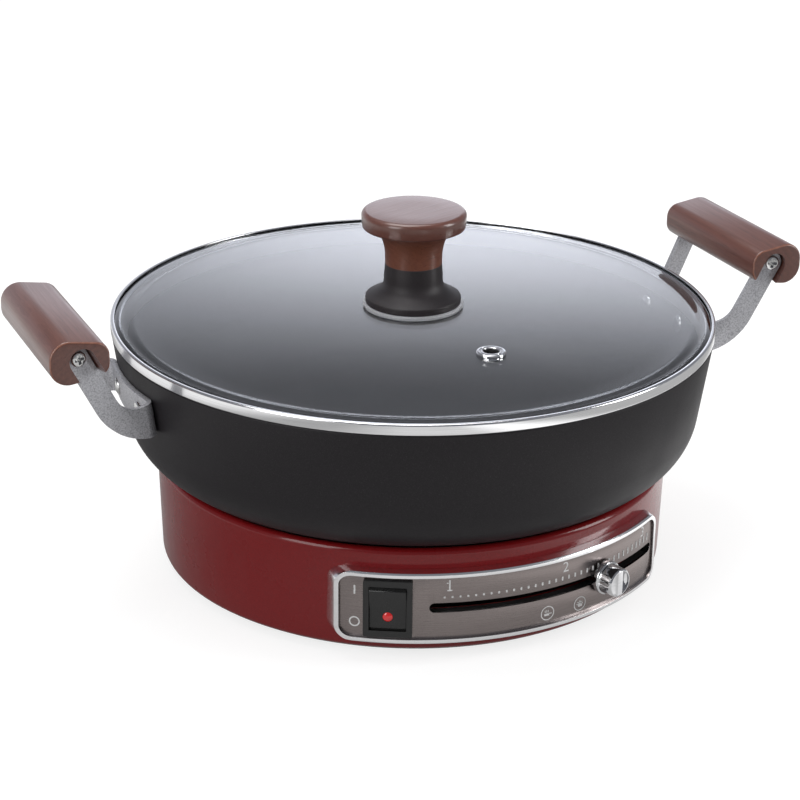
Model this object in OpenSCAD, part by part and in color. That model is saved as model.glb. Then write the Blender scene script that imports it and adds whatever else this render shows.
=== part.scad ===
// Electric table cooker: a heated base, a lift-off pan with two wooden grips and a loose glass lid.
// Millimetres, +Z up. The origin is on the table, under the middle of the base.
// The control panel faces -Y. The pan's grips point along +X and -X.
// Angles round the base are measured from -Y towards +X.

/* [Base] */
// How far the base stands out past the flat of the pan's floor
base_margin = 15.9; // [15:0.1:17.5]
// Slope of the base wall, in degrees from upright
base_draft = 1.65; // [0.5:0.05:2.5]
// Height of the base shell from its lower edge to its crest
base_h = 55.8; // [54:0.2:62]
// Sheet thickness of the base shell
shell_t = 1.5; // [1:0.1:2]
// Radius of the base shell's shoulder and of its lower edge
shoulder_r = 3; // [2.5:0.1:4]
// How far the pan's seat lies below the crest
seat_drop = 1.6; // [1.2:0.1:2.2]
// How far the inner lip lies below the crest
lip_drop = 5.6; // [5:0.1:6.4]
// How far the inner lip reaches in past the flat of the pan's floor
lip_in = 3.6; // [2:0.1:5]
// Thickness of the bottom plate
bottom_t = 1.2; // [0.8:0.1:1.6]
// Height of a rubber foot below the bottom plate
foot_h = 3; // [2.5:0.1:5]
// Diameter of a rubber foot
foot_d = 22; // [16:0.5:26]
// Distance of the feet in from the edge of the pan's flat
foot_in = 11.6; // [9.6:0.1:17]

/* [Heater] */
// Room between the edges of the heating plate and of the heat shield's floor
plate_room = 11; // [7:0.5:18]
// Thickness of the heating plate
plate_t = 8; // [6:0.2:9]
// Distance of the heater's loop in from the plate's edge
loop_in = 33; // [29:0.5:37]
// Diameter of the heater tube
tube_d = 8; // [6:0.2:9]
// Height of the spacers under the heating plate
spacer_h = 13.4; // [12.6:0.1:14]
// Distance of the spacers in from the plate's edge
spacer_in = 13; // [9:0.5:17]
// Sheet thickness of the heat shield
shield_t = 0.8; // [0.6:0.1:1]
// How far the heat shield's wall leans out from foot to rim
shield_lean = 6; // [4:0.5:8]
// Distance of the support posts in from the edge of the shield's floor
post_in = 10; // [8:0.5:14]
// Diameter of a support post
post_d = 8; // [7:0.2:10]

/* [Pan] */
// Outer height of the pan
pan_h = 72; // [68:0.5:80]
// Slope of the pan's wall, in degrees from upright
pan_draft = 7.86; // [6.5:0.1:9]
// Outer radius of the curve between the pan's floor and wall
pan_corner_r = 32.2; // [28:0.2:36]
// Wall thickness of the pan
pan_t = 3; // [2.4:0.1:3.4]

/* [Handles] */
// Height of the pan's rim above the middle of a handle's wall plate
bracket_down = 21.2; // [19:0.2:26]
// Sheet thickness of a handle bracket
bracket_t = 2.5; // [2:0.1:3]
// Angle of a bracket arm from the middle of its handle
arm_a = 12; // [11:0.1:13]
// Width of a bracket arm
arm_w = 11.6; // [10:0.2:13]
// Lean of a bracket arm from the wall's normal, in degrees
arm_lean = 70.4; // [67:0.2:74]
// Inside radius of the bends between wall plate and arms
bend_r = 3.5; // [2.5:0.1:4.5]
// Distance of a grip screw from the pan's wall
grip_out = 37; // [35:0.2:40]
// Height of a grip screw above the middle of the wall plate, along the wall
grip_up = 46.3; // [44:0.2:49]
// Length of a wooden grip
grip_l = 95; // [92:0.5:104]
// Depth of a grip from its inner to its outer side
grip_d = 30; // [26:0.2:34]
// Height of a grip at its outer side
grip_h_out = 25.6; // [23:0.2:28]
// Height of a grip at its inner side
grip_h_in = 16.4; // [14:0.2:20]
// Angle of the rivets from the middle of a handle
rivet_a = 6.6; // [5.5:0.1:7]
// Diameter of a rivet's shank
rivet_d = 5; // [4:0.2:6]
// Diameter of a rivet's head
rivet_head_d = 10; // [8:0.2:10.4]
// Diameter of a grip screw's shank
grip_screw_d = 4; // [3:0.2:5]

/* [Lid] */
// Outer radius of the lid's steel band, from which pan and base take their width
lid_r = 160; // [146:0.5:178]
// How far the lid's band stands out past the pan's rim
lid_over = 0.4; // [0:0.1:1.4]
// Room above the edge of the glass in its band
glass_play = 0.2; // [0.1:0.05:1]
// Sheet thickness of the lid's steel band
band_t = 0.7; // [0.5:0.05:0.8]
// Width of the band's flanges
band_w = 5.4; // [5:0.1:5.8]
// Depth of the skirt that centres the lid in the pan
skirt_drop = 11; // [8:0.1:13]
// Thickness of the lid's glass
glass_t = 3.9; // [3.4:0.1:4]
// How far the middle of the glass rises above its edge
glass_rise = 3.05; // [2.4:0.05:6]
// Distance of the steam vent from the middle
vent_ring_r = 80; // [60:0.5:110]
// Angle of the steam vent round the lid
vent_a = 5.7; // [-30:0.1:30]
// Diameter of the steam vent's hole
vent_d = 8.5; // [6:0.1:9]
// Diameter of the steam vent's flange
vent_flange_d = 15.2; // [14:0.1:18]

/* [Lid knob] */
// Radius of the wooden cap
cap_r = 27.7; // [25:0.1:30]
// Thickness of the wooden cap's disc
cap_t = 9.1; // [8:0.1:11]
// Height of the wooden neck below the disc
neck_h = 19.7; // [17:0.1:23]
// Radius of the neck where wood meets skirt
neck_r = 15.1; // [13.5:0.1:16]
// Height of the black skirt
skirt_h = 21.7; // [19:0.1:25]
// Radius of the black skirt
skirt_r = 25.4; // [24:0.1:28]
// Thickness of the gasket under the skirt
gasket_t = 2.15; // [1.5:0.05:3]
// Diameter of the knob's screw
knob_screw_d = 5; // [4:0.1:6]

/* [Control panel] */
// How far the slot and the switch lie below the middle of the base wall
panel_drop = 1.1; // [0.9:0.1:1.6]
// Gap between the switch's bezel and the chrome frame, above and below
frame_gap = 1.5; // [0.8:0.1:2.2]
// Half the angle that the chrome frame spans
frame_a = 39; // [38.8:0.1:40]
// Width of the chrome frame's face
frame_w = 2.4; // [1.8:0.1:2.6]
// Corner radius of the chrome frame
frame_corner_r = 8; // [5:0.1:9]
// How far the chrome frame stands out from the base shell
panel_proud = 6.1; // [5.8:0.1:7]
// How far the panel plate lies behind the frame's face
plate_sink = 1.2; // [0.8:0.1:1.4]
// Sheet thickness of the panel plate
panel_t = 1; // [0.8:0.1:1.2]
// Angle at the slot's left end
slot_a0 = -20; // [-20.4:0.1:-18]
// Angle at the slot's right end
slot_a1 = 37.4; // [34:0.1:37.4]
// Height of the slot
slot_h = 5.3; // [5.1:0.1:5.6]

/* [Heat slider] */
// Angle of the knob as it stands
slider_a = 19.4; // [0:0.1:30]
// Thickness of the lever
lever_t = 2; // [1.6:0.1:2.2]
// Width of the lever at the slot
lever_w = 14; // [10:0.2:15]
// Wall of the knob's stem round the lever
stem_wall = 1.2; // [0.8:0.1:1.3]
// Diameter of the knob's collar
knob_d = 17.6; // [16:0.1:19]
// Diameter of the knob's face
knob_face_d = 14.8; // [13.5:0.1:15.5]
// How far the knob stands out from the chrome frame
knob_out = 11; // [9:0.1:13]
// Diameter of the thermostat's shaft
shaft_d = 6; // [5:0.1:7]

/* [Switch] */
// Angle of the switch
switch_a = -28.2; // [-28.6:0.1:-28]
// Width of the switch's bezel
bezel_w = 24.4; // [24:0.1:25]
// Height of the switch's bezel
bezel_h = 30.7; // [30:0.1:32]
// Thickness of the switch's bezel
bezel_t = 2.2; // [1.8:0.1:2.6]
// Depth of the switch behind its bezel
switch_d = 24; // [22:0.5:26]
// Width of the bezel beside the rocker
bezel_side = 3.1; // [2.9:0.1:3.7]
// Width of the bezel above and below the rocker
bezel_end = 2.35; // [2.15:0.05:2.75]
// Swing of the rocker from off to on
rocker_swing = 16; // [12:0.5:18]
// Diameter of the indicator lens
lens_d = 5; // [4:0.1:6]

/* [Power inlet] */
// Width of the inlet's body
inlet_w = 27; // [26:0.1:28]
// Height of the inlet's body
inlet_h = 19.8; // [19:0.1:21]
// Depth of the inlet's socket
socket_depth = 16; // [14:0.1:18]
// Width of the moulded surround outside its screws
surround_edge = 5; // [4:0.1:8]
// Width of the moulded surround above and below the inlet
surround_rim = 6.1; // [5:0.1:8]

/* [Hidden] */
$fn = 96;

// Clearances: faces that seat, sliding fits, running fits, loose fits, and sheet laid on a round wall
seat_gap = 0.05;
slide_gap = 0.1;
run_gap = 0.05;
loose_gap = 0.25;
wall_gap = 0.3;
// Overlap of cutting shapes past the faces that they cut
over = 1;
// How far the round ends of a slot stay inside its long sides
end_step = 0.01;
// How far past the middle of its round end a slot's straight run stops, as a share of the end
run_step = 0.02;
// Reach of cuts that go right through
reach = 60;

// Width of the pan's flat floor, worked out from the lid through the slope and curve of the pan's wall
pan_rim_r = lid_r - lid_over;
pan_rise = pan_h - pan_corner_r * (1 - sin(pan_draft));
seat_r = pan_rim_r - pan_rise * tan(pan_draft) - pan_corner_r * cos(pan_draft);

// Levels of the base
shell_z0 = foot_h + bottom_t;
crest_z = shell_z0 + base_h;
seat_z = crest_z - seat_drop;
lip_z = crest_z - lip_drop;
crest_r = seat_r + base_margin - shoulder_r;
wall_top = [crest_r + shoulder_r, crest_z - shoulder_r];
shoulder_in = shoulder_r * sin(45);
lip_r0 = seat_r - lip_in;
lip_r1 = crest_r - lip_drop + shoulder_r - 2 * shoulder_in;
shell_hem = 7;
shell_lip_r = crest_r - shell_hem;
plate_z0 = seat_z - plate_t;
shield_top = plate_z0 - spacer_h;
shield_z0 = shield_top - shield_t;
bottom_top = foot_h + bottom_t;
bottom_gap = 1;
foot_ring_r = seat_r - foot_in;
foot_edge = 1;

// Fasteners
screw_d = 4;
screw_head_d = 7.6;
screw_head_h = 1.8;
screw_hole_d = 4.4;
nut_w = 8;
nut_h = 3.2;
stud_h = 5.6;
screw_depth = 10;
screw_tip = 1;
foot_neck_d = 8;
foot_barb_d = 11;
foot_barb_h = 2;
post_angles = [80, 200, 320];
foot_angles = [55, 125, 235, 305];
spacer_angles = [60, 180, 300];
vent_count = 24;
vent_slot = [3, 16];
vent_in = 17;

// Heater
shield_gap = 6;
shield_lap = 1;
shield_rim_r = lip_r0 - shield_gap;
shield_floor_r = shield_rim_r - shield_lean;
plate_r = shield_floor_r - plate_room;
plate_edge = 1.5;
loop_r = plate_r - loop_in;
spacer_ring_r = plate_r - spacer_in;
spacer_wall = 2;
spacer_screw_in = 5;
post_ring_r = shield_floor_r - post_in;
tube_drop = 4.6;
loop_z = plate_z0 - tube_drop;
rib_w = 2.6;
rib_h = 5;
rib_taper = 1;
rib_in = loop_r - tube_d / 2 - rib_w;
rib_out = loop_r + tube_d / 2 + rib_w;
loop_gap_a = 30;
pin_inset_a = 4;
pin_a = loop_gap_a / 2 + pin_inset_a;
pin_d = 4;
pin_reach = 4;
pin_z = shield_z0 - pin_reach;
pin_hole_d = 12;

// Thermostat and slider
panel_z = (shell_z0 + crest_z) / 2 - panel_drop;
lever_z0 = panel_z - lever_t / 2;
lever_z1 = panel_z + lever_t / 2;
collar_h = 2.2;
collar_d = shaft_d + 2;
bushing_d = 10;
bushing_z0 = lever_z1 + collar_h + loose_gap;
bushing_room = 2;
thermo_d = 28;
thermo_h = 9.2;
thermo_z0 = plate_z0 - thermo_h;
shaft_stop = 3;
shaft_top = plate_z0 - shaft_stop;
shaft_tip = 1;
shaft_room = 0.5;
ear_w = 10;
ear_l = 44;
ear_t = 2;
terminal_t = 0.8;
terminal_w = 6.3;
terminal_in = 3.9;
terminal_reach = 4;
terminal_room = 1.5;
thermo_terminals = [[-11, 8], [11, 8]];
thermo_terminal_z0 = shield_z0 - terminal_reach;
hub_d = 16;
hub_step = 1;
lever_taper = 2;
lever_nut_h = 3;
shaft_z0 = lever_z0 - lever_nut_h - shaft_tip;
lever_nut_w = shaft_d + 5;
fuse_d = 4.6;
fuse_l = 12;
fuse_r = (thermo_d / 2 + rib_in) / 2;
clip_w = fuse_d + 3;

// Panel
frame_r = wall_top[0] + panel_proud;
panel_r1 = frame_r - plate_sink;
panel_r0 = panel_r1 - panel_t;
frame_h = bezel_h + 2 * frame_gap + 2 * frame_w;
frame_drop = 0.25;
frame_z0 = panel_z - frame_drop - frame_h / 2;
frame_z1 = frame_z0 + frame_h;
frame_mid_z = (frame_z0 + frame_z1) / 2;
frame_l = 2 * frame_r * sin(frame_a);
frame_end_w = frame_w * cos(frame_a);
frame_edge = 0.8;
window_l = frame_l - 2 * frame_end_w;
window_h = frame_h - 2 * frame_w;
window_corner_r = frame_corner_r - frame_w;
stud_d = 4;
stud_in = 4;
stud_root = 5;
stud_angles = [-36, 33];
stud_dz = 12;
push_nut_d = 9;
push_nut_t = 1;
slot_room = 0.7;
carrier_slot_a = [0.6, 0.4];
shell_slot_a = [1.5, 0.8];
slot_depth = 20;

// Slider knob
stem_w = lever_w + 2 * stem_wall;
stem_h = lever_t + 2 * stem_wall;
stem_in = 3;
stem_r0 = panel_r0 - stem_in;
knob_gap = 1.4;
knob_r0 = panel_r1 + knob_gap;
knob_r1 = frame_r + knob_out;
collar_t = 3;
collar_foot = 0.6;
collar_edge = 0.8;
knob_waist = [0.5, 0.2];
knob_edge = [0.6, 0.7];
tongue_in = 5;
tongue_r1 = knob_r0 + tongue_in;
scoop_depth = 2.4;
scoop_r = 4.4;
scoop_sink = 1;
face_rim = 0.9;
ridge_half = 0.5;

// Switch
bezel_d0 = panel_r1 + seat_gap;
bezel_d1 = bezel_d0 + bezel_t;
bezel_lap = [1.3, 1.15];
bezel_corner_r = 0.8;
body_w = bezel_w - 2 * bezel_lap[0];
body_h = bezel_h - 2 * bezel_lap[1];
pivot_in = 6;
pivot_d = bezel_d1 - pivot_in;
rocker_w = bezel_w - 2 * bezel_side;
rocker_r = bezel_h / 2 - bezel_end;
rocker_side_gap = 0.2;
pocket_r = rocker_r + loose_gap;
pocket_w = rocker_w + 2 * rocker_side_gap;
trunnion_d = 3;
trunnion_l = 1.2;
valley = 4.6;
rocker_back = 4;
lens_down = 4.8;
lens_out = 0.9;
lens_in = 3;
blade_l = 10;
blades = [[-6.5, -9], [6.5, -9], [-6.5, 9], [6.5, 9]];

// Inlet
inlet_proud = 3.4;
inlet_face = wall_top[0] + inlet_proud;
inlet_flange = 2;
inlet_flange_r = 2;
inlet_lap = 2;
inlet_neck_wall = 2.5;
inlet_neck_w = inlet_w + 2 * inlet_neck_wall;
inlet_neck_h = inlet_h + 2 * inlet_neck_wall;
inlet_neck_in = 4;
socket_wall = [1.3, 1.7];
socket_w = inlet_w - 2 * socket_wall[0];
socket_h = inlet_h - 2 * socket_wall[1];
socket_cut = 4;
socket_back = 3;
inlet_back = socket_depth + socket_back;
pin_size = [4, 2];
pin_spread = 7;
pin_rise = 2;
pin_len = 14;
tag_len = 8;
inlet_screw_l = 12;
inlet_head_d = 6.6;
inlet_head_gap = 0.2;
inlet_screw_x = inlet_w / 2 + inlet_lap + inlet_head_gap + inlet_head_d / 2;
surround_w = 2 * (inlet_screw_x + surround_edge);
surround_h = inlet_h + 2 * surround_rim;
surround_r = 4;

// Pan and handles
pan_z1 = seat_z + pan_h;
pan_cz = seat_z + pan_corner_r;
pan_cr = seat_r;
pan_tangent = [pan_cr + pan_corner_r * cos(pan_draft), pan_cz - pan_corner_r * sin(pan_draft)];
rim_round = 1.2;
bracket_z = pan_z1 - bracket_down;
bracket_wall_r = pan_tangent[0] + (bracket_z - pan_tangent[1]) * tan(pan_draft);
wall_round_r = bracket_wall_r / cos(pan_draft);
plate_in_r = wall_round_r + wall_gap;
plate_out_r = plate_in_r + bracket_t;
bend_at_r = plate_out_r + bend_r;
bend_a = arm_a - asin((bend_r + bracket_t / 2) / bend_at_r);
arm_r0 = bend_at_r * cos(arm_a - bend_a);
plate_up = 9.2;
plate_down = 9.2;
arm_high_r = 13.2;
arm_low_r = 34;
grip_screw = [wall_round_r + grip_out, grip_up];
arm_dir = [cos(arm_lean), sin(arm_lean)];
arm_side = [sin(arm_lean), -cos(arm_lean)];
slot_clear = 0.7;
arm_high = grip_screw - arm_side * arm_w / 2;
arm_low = grip_screw + arm_side * arm_w / 2;
high_t = (plate_up + arm_high_r * (1 - cos(arm_lean)) - arm_high[1]) / sin(arm_lean);
high_c = arm_high + arm_dir * high_t - arm_side * arm_high_r;
low_t = (arm_low_r * (1 - cos(arm_lean)) - plate_down - arm_low[1]) / sin(arm_lean);
low_c = arm_low + arm_dir * low_t - arm_side * arm_low_r;
low_a0 = asin((arm_r0 - low_c[0]) / arm_low_r);
plate_low = low_c[1] - arm_low_r * cos(low_a0);
rivet_head_h = 1.8;
rivet_head_gap = 0.12;
grip_screw_head_d = 8;
grip_screw_head_h = 2.2;
grip_screw_round = 1.4;
grip_screw_tip = [0.8, 1.5];
grip_screw_l = 16;
grip_reach = (wall_round_r + grip_out) * cos(arm_a) - wall_round_r;
grip_x = bracket_wall_r + grip_reach * cos(pan_draft) + grip_up * sin(pan_draft);
grip_z = bracket_z - grip_reach * sin(pan_draft) + grip_up * cos(pan_draft);
grip_edge = 1;
grip_step = 0.6;
grip_in_r = 4.5;
grip_out_r = 9.2;

// Lid
lid_z0 = pan_z1;
band_h = glass_t + 2 * band_t + slide_gap + glass_play;
lid_z1 = lid_z0 + band_h;
glass_z0 = lid_z0 + band_t + slide_gap;
glass_z1 = glass_z0 + glass_t;
glass_r = lid_r - band_t - loose_gap;
glass_edge = 1;
lid_play = 1;
skirt_out_r = pan_rim_r - pan_t / cos(pan_draft) - skirt_drop * tan(pan_draft) - lid_play;
shoulder_in_r = 11;
shoulder_w = 11;
shoulder_r1 = lid_r - shoulder_in_r;
shoulder_r0 = shoulder_r1 - shoulder_w;
shoulder_rise = 1.6;
eyelet_t = 0.9;
eyelet_lap_t = 0.8;
eyelet_round = 1.4;
eyelet_lap = 1.2;
gasket_lap = 0.3;
gasket_wall = 1.5;
knob_hole_d = knob_screw_d + 2 * gasket_wall;
glass_top = glass_z1 + glass_rise;
skirt_z0 = glass_top + gasket_t;
neck_z0 = skirt_z0 + skirt_h;
cap_z0 = neck_z0 + neck_h;
cap_z1 = cap_z0 + cap_t;
knob_screw_head_d = 10;
knob_screw_head_h = 2.6;
knob_screw_round = 1.6;
knob_screw_tip = 0.5;
knob_screw_room = 1;
washer_d = 22;
washer_t = 1.6;
knob_screw_up = 12;

// Wiring
wire_d = 2.4;
bend_bulge = 1.6;
bend_trim = 1.3;
wire_gap = 0.2;
wire_up = 8;
wire_z = bottom_top + wire_up;
wire_in = 21;
wire_ring_r = post_ring_r - wire_in;
vent_slot_r = wire_ring_r - vent_in;
live_angles = [-140, -90, -50];
live_bend = 5;
switched_angle = -50;
switched_r = 0.48 * wire_ring_r;
switched_bend = 8;
feed_up = 6;
tag_bend = 6;
earth_bend = 3.6;

// Points on an arc about c, from angle a0 to a1
function arc(c, r, a0, a1, n = 8) = [for (i = [0:n]) c + r * [cos(a0 + (a1 - a0) * i / n),
                                                              sin(a0 + (a1 - a0) * i / n)]];

// Outer radius of the base wall at height z
function shell_at(z) = wall_top[0] - (wall_top[1] - z) * tan(base_draft);

// Height of the glass above its flat edge, at radius r
function glass_lift(r) = r >= shoulder_r1 ? 0
  : r >= shoulder_r0 ? shoulder_rise * (1 - cos(180 * (shoulder_r1 - r) / (shoulder_r1 - shoulder_r0))) / 2
  : glass_rise - (glass_rise - shoulder_rise) * pow(r / shoulder_r0, 2);

// A place on the table plane at angle a and distance r
function spot(a, r, z) = [r * sin(a), -r * cos(a), z];

// A profile of radius and height, turned from angle a0 to a1
module sector(a0, a1) {
  rotate([0, 0, a0 - 90]) rotate_extrude(angle = a1 - a0) children();
}

// A flat shape of width and height, pushed outwards at angle a from distance d0 to d1
module outward(a, d0, d1) {
  rotate([0, 0, a]) translate([0, -d0, 0]) rotate([90, 0, 0]) linear_extrude(d1 - d0) children();
}

// A round-ended slot round the base, between distances d0 and d1
module arc_slot(a0, a1, z, h, d0, d1) {
  end_a = asin(h / 2 / panel_r1);
  run_a = end_a * (1 + run_step);
  sector(a0 + run_a, a1 - run_a) translate([d0, z - h / 2]) square([d1 - d0, h]);
  for (a = [a0 + end_a, a1 - end_a])
    outward(a, d0, d1) translate([0, z]) circle(d = h - 2 * end_step);
}

// A rectangle with round corners
module round_rect(w, h, r) {
  square([w - 2 * r, h], center = true);
  square([w, h - 2 * r], center = true);
  for (x = [-1, 1], y = [-1, 1])
    translate([x * (w / 2 - r), y * (h / 2 - r)]) circle(r);
}

// A round cable through a list of points, in straight runs that stop short of a ball at each bend
module cable(points) {
  last = len(points) - 1;
  for (i = [0:last - 1]) {
    step = points[i + 1] - points[i];
    turn = atan2(step[1], step[0]);
    tilt = acos(step[2] / norm(step));
    start = i > 0 ? bend_trim : 0;
    stop = i < last - 1 ? bend_trim : 0;
    translate(points[i]) rotate([0, tilt, turn]) translate([0, 0, start])
      cylinder(d = wire_d, h = norm(step) - start - stop, $fn = 24);
  }
  for (i = [1:last - 1])
    translate(points[i]) sphere(d = wire_d + bend_bulge, $fn = 24);
}

// The frame of a handle: x out of the pan's wall, z up along it, side +1 at +X
module on_wall(side) {
  rotate([0, 0, side > 0 ? 0 : 180]) translate([bracket_wall_r, 0, bracket_z])
    rotate([0, pan_draft, 0]) translate([-wall_round_r, 0, 0]) children();
}

// A flat shape in an arm's plane, pushed away from the handle's middle from y0 to y1
module in_arm(end, y0, y1) {
  rotate([0, 0, end * arm_a]) mirror([0, end > 0 ? 0 : 1, 0])
    translate([0, y1, 0]) rotate([90, 0, 0]) linear_extrude(y1 - y0) children();
}

// A turned piece along an arm's normal at the grip screw
module at_grip_screw(end) {
  rotate([0, 0, end * arm_a]) translate([grip_screw[0], 0, grip_screw[1]])
    rotate([end > 0 ? -90 : 90, 0, 0]) children();
}

// Lid: clear glass with a low shoulder, a hole for the knob's screw and one for the vent
module lid_glass() {
  ring = [for (i = [0:10]) shoulder_r1 - shoulder_w * i / 10];
  dome = [for (i = [1:7]) shoulder_r0 * (1 - i / 8)];
  radii = concat([glass_r - glass_edge], ring, dome, [knob_hole_d / 2]);
  top = [for (r = radii) [r, glass_z1 + glass_lift(r)]];
  low = [for (i = [len(radii) - 1:-1:0]) [radii[i], glass_z0 + glass_lift(radii[i])]];
  color("lightsteelblue", 0.4) difference() {
    rotate_extrude($fn = 180) polygon(concat(
      [[glass_r, glass_z0 + glass_edge], [glass_r, glass_z1 - glass_edge]], top, low));
    translate(spot(vent_a, vent_ring_r, glass_z0 - over))
      cylinder(d = vent_d + 2 * eyelet_t + 2 * slide_gap, h = reach);
  }
}

// Lid: polished band rolled round the edge of the glass, with a skirt that centres it in the pan
module lid_rim_band() {
  round_out = 1.8;
  round_low = 0.5;
  inner_r = lid_r - band_t;
  color("gainsboro") rotate_extrude($fn = 180) polygon(concat(
    [[skirt_out_r - band_t, lid_z0 - skirt_drop], [skirt_out_r, lid_z0 - skirt_drop]],
    [[skirt_out_r, lid_z0]],
    arc([lid_r - round_low, lid_z0 + round_low], round_low, -90, 0, 4),
    arc([lid_r - round_out, lid_z1 - round_out], round_out, 0, 90),
    [[lid_r - band_w, lid_z1], [lid_r - band_w, lid_z1 - band_t]],
    arc([lid_r - round_out, lid_z1 - round_out], round_out - band_t, 90, 0),
    [[inner_r, lid_z0 + band_t], [skirt_out_r - band_t, lid_z0 + band_t]]
  ));
}

// Lid: pressed steel eyelet that lets the steam out
module lid_vent_eyelet() {
  lift = glass_lift(vent_ring_r);
  hole_r = vent_d / 2;
  tube_r = hole_r + eyelet_t;
  flange_r = vent_flange_d / 2;
  edge = eyelet_round - eyelet_lap_t;
  top = glass_z1 + lift + slide_gap;
  low = glass_z0 + lift - slide_gap;
  crown = top + 2 * eyelet_lap_t;
  color("silver") translate(spot(vent_a, vent_ring_r, 0)) rotate_extrude() polygon(concat(
    arc([hole_r + eyelet_round, crown - eyelet_round], eyelet_round, 180, 90),
    arc([flange_r - edge, crown - edge], edge, 90, 0, 4),
    [[flange_r, top], [tube_r, top], [tube_r, low], [flange_r - eyelet_lap, low]],
    [[flange_r - eyelet_lap, low - eyelet_lap_t], [hole_r, low - eyelet_lap_t]]
  ));
}

// Lid knob: turned wooden cap with a hollow neck for the screw
module lid_knob_cap() {
  edge = 2.6;
  under = 1.2;
  flare = 5.4;
  flare_h = neck_h - 0.6;
  belly = 0.3;
  belly_w = 3.4;
  color("saddlebrown") difference() {
    rotate_extrude() polygon(concat(
      [[0, neck_z0], [neck_r, neck_z0]],
      [for (i = [1:8]) [neck_r + flare * pow(i / 8, 3), neck_z0 + flare_h * i / 8]],
      [[cap_r - belly_w, cap_z0 - belly]],
      arc([cap_r - under - belly, cap_z0 + under], under, -90, 0, 4),
      arc([cap_r - edge, cap_z1 - edge], edge, 0, 90),
      [[0, cap_z1]]
    ));
    translate([0, 0, neck_z0 - over])
      cylinder(d = knob_screw_d + 2 * run_gap, h = knob_screw_up + knob_screw_room + over);
  }
}

// Lid knob: moulded black skirt under the cap, hollow below
module lid_knob_skirt() {
  rim = 3.8;
  edge = 0.6;
  sweep = skirt_h * 0.5;
  hollow_curve = 3.2;
  waist_r = neck_r + 0.5;
  hollow_h = 7;
  hollow_wall = [5, 3];
  boss_r = 7;
  color("#231f20") difference() {
    rotate_extrude() polygon(concat(
      [[0, skirt_z0], [skirt_r - edge, skirt_z0], [skirt_r, skirt_z0 + edge], [skirt_r, skirt_z0 + rim]],
      [for (i = [1:12]) let (t = i / 12)
        [waist_r + (skirt_r - waist_r) * pow(1 - t, hollow_curve), skirt_z0 + rim + sweep * t]],
      [[neck_r, neck_z0], [0, neck_z0]]
    ));
    translate([0, 0, skirt_z0 - over]) {
      cylinder(d = knob_screw_d + 2 * run_gap, h = skirt_h + 2 * over);
      difference() {
        cylinder(r1 = skirt_r - hollow_wall[0], r2 = neck_r - hollow_wall[1], h = hollow_h + over);
        cylinder(r = boss_r, h = hollow_h + 2 * over);
      }
    }
  }
}

// Lid knob: clear silicone gasket between skirt and glass
module lid_knob_gasket() {
  color("whitesmoke", 0.6) translate([0, 0, glass_top]) difference() {
    union() {
      cylinder(r = skirt_r + gasket_lap, h = gasket_t - seat_gap);
      translate([0, 0, -glass_t]) cylinder(d = knob_hole_d - 2 * slide_gap, h = glass_t);
    }
    translate([0, 0, -glass_t - over])
      cylinder(d = knob_screw_d + 2 * run_gap, h = glass_t + gasket_t + 2 * over);
  }
}

// Lid knob: washer under the glass
module lid_knob_washer() {
  color("silver") translate([0, 0, glass_top - glass_t - washer_t - seat_gap]) difference() {
    cylinder(d = washer_d, h = washer_t);
    translate([0, 0, -over]) cylinder(d = knob_screw_d + 2 * run_gap, h = washer_t + 2 * over);
  }
}

// Lid knob: screw from under the glass into the cap
module lid_knob_screw() {
  head_r = knob_screw_head_d / 2;
  shank_r = knob_screw_d / 2;
  head_top = glass_top - glass_t - washer_t - 2 * seat_gap;
  head_low = head_top - knob_screw_head_h;
  tip_z = neck_z0 + knob_screw_up;
  color("silver") rotate_extrude() polygon(concat(
    [[0, head_low]],
    arc([head_r - knob_screw_round, head_low + knob_screw_round], knob_screw_round, -90, 0, 5),
    [[head_r, head_top], [shank_r, head_top], [shank_r, tip_z - knob_screw_tip]],
    [[shank_r - knob_screw_tip, tip_z], [0, tip_z]]
  ));
}

// Outline of the pan's wall, drawn in from the outer face by the distance inset
function pan_outline(inset) = concat(
  [[0, seat_z + inset]],
  arc([pan_cr, pan_cz], pan_corner_r - inset, -90, -pan_draft, 12),
  [[pan_rim_r - inset / cos(pan_draft), pan_z1]]
);

// Pan: drawn and coated, with rivet holes for both handles
module pan() {
  lip_t = pan_t / cos(pan_draft);
  inner = pan_outline(pan_t);
  rim = concat(
    arc([pan_rim_r - rim_round, pan_z1 - rim_round], rim_round, 0, 90, 5),
    arc([pan_rim_r - lip_t + rim_round, pan_z1 - rim_round], rim_round, 90, 180, 5)
  );
  outer = [for (p = pan_outline(0)) if (p[1] < pan_z1 - rim_round) p];
  inside = [for (i = [len(inner) - 1:-1:0]) if (inner[i][1] < pan_z1 - rim_round) inner[i]];
  color("#2b2a2c") difference() {
    rotate_extrude($fn = 180) polygon(concat(outer, rim, inside));
    for (side = [-1, 1], end = [-1, 1])
      on_wall(side) rivet_line(end) cylinder(d = rivet_d + 2 * run_gap, h = reach, center = true);
  }
}

// The line of a rivet: z points out of the wall, from the wall's outer face
module rivet_line(end) {
  rotate([0, 0, end * rivet_a]) translate([wall_round_r, 0, 0]) rotate([0, 90, 0]) children();
}

// The outline of a bracket arm in its own plane
module arm_outline() {
  high = [for (i = [0:8]) high_c + arm_high_r * [sin(arm_lean * i / 8), -cos(arm_lean * i / 8)]];
  low = [for (i = [0:10]) let (a = arm_lean + (low_a0 - arm_lean) * i / 10)
    low_c + arm_low_r * [sin(a), -cos(a)]];
  difference() {
    union() {
      polygon(concat([[arm_r0, plate_up]], high, [arm_high, arm_low], low));
      translate(grip_screw) circle(d = arm_w);
    }
    translate(grip_screw) circle(d = grip_screw_d + 2 * slide_gap);
  }
}

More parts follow.
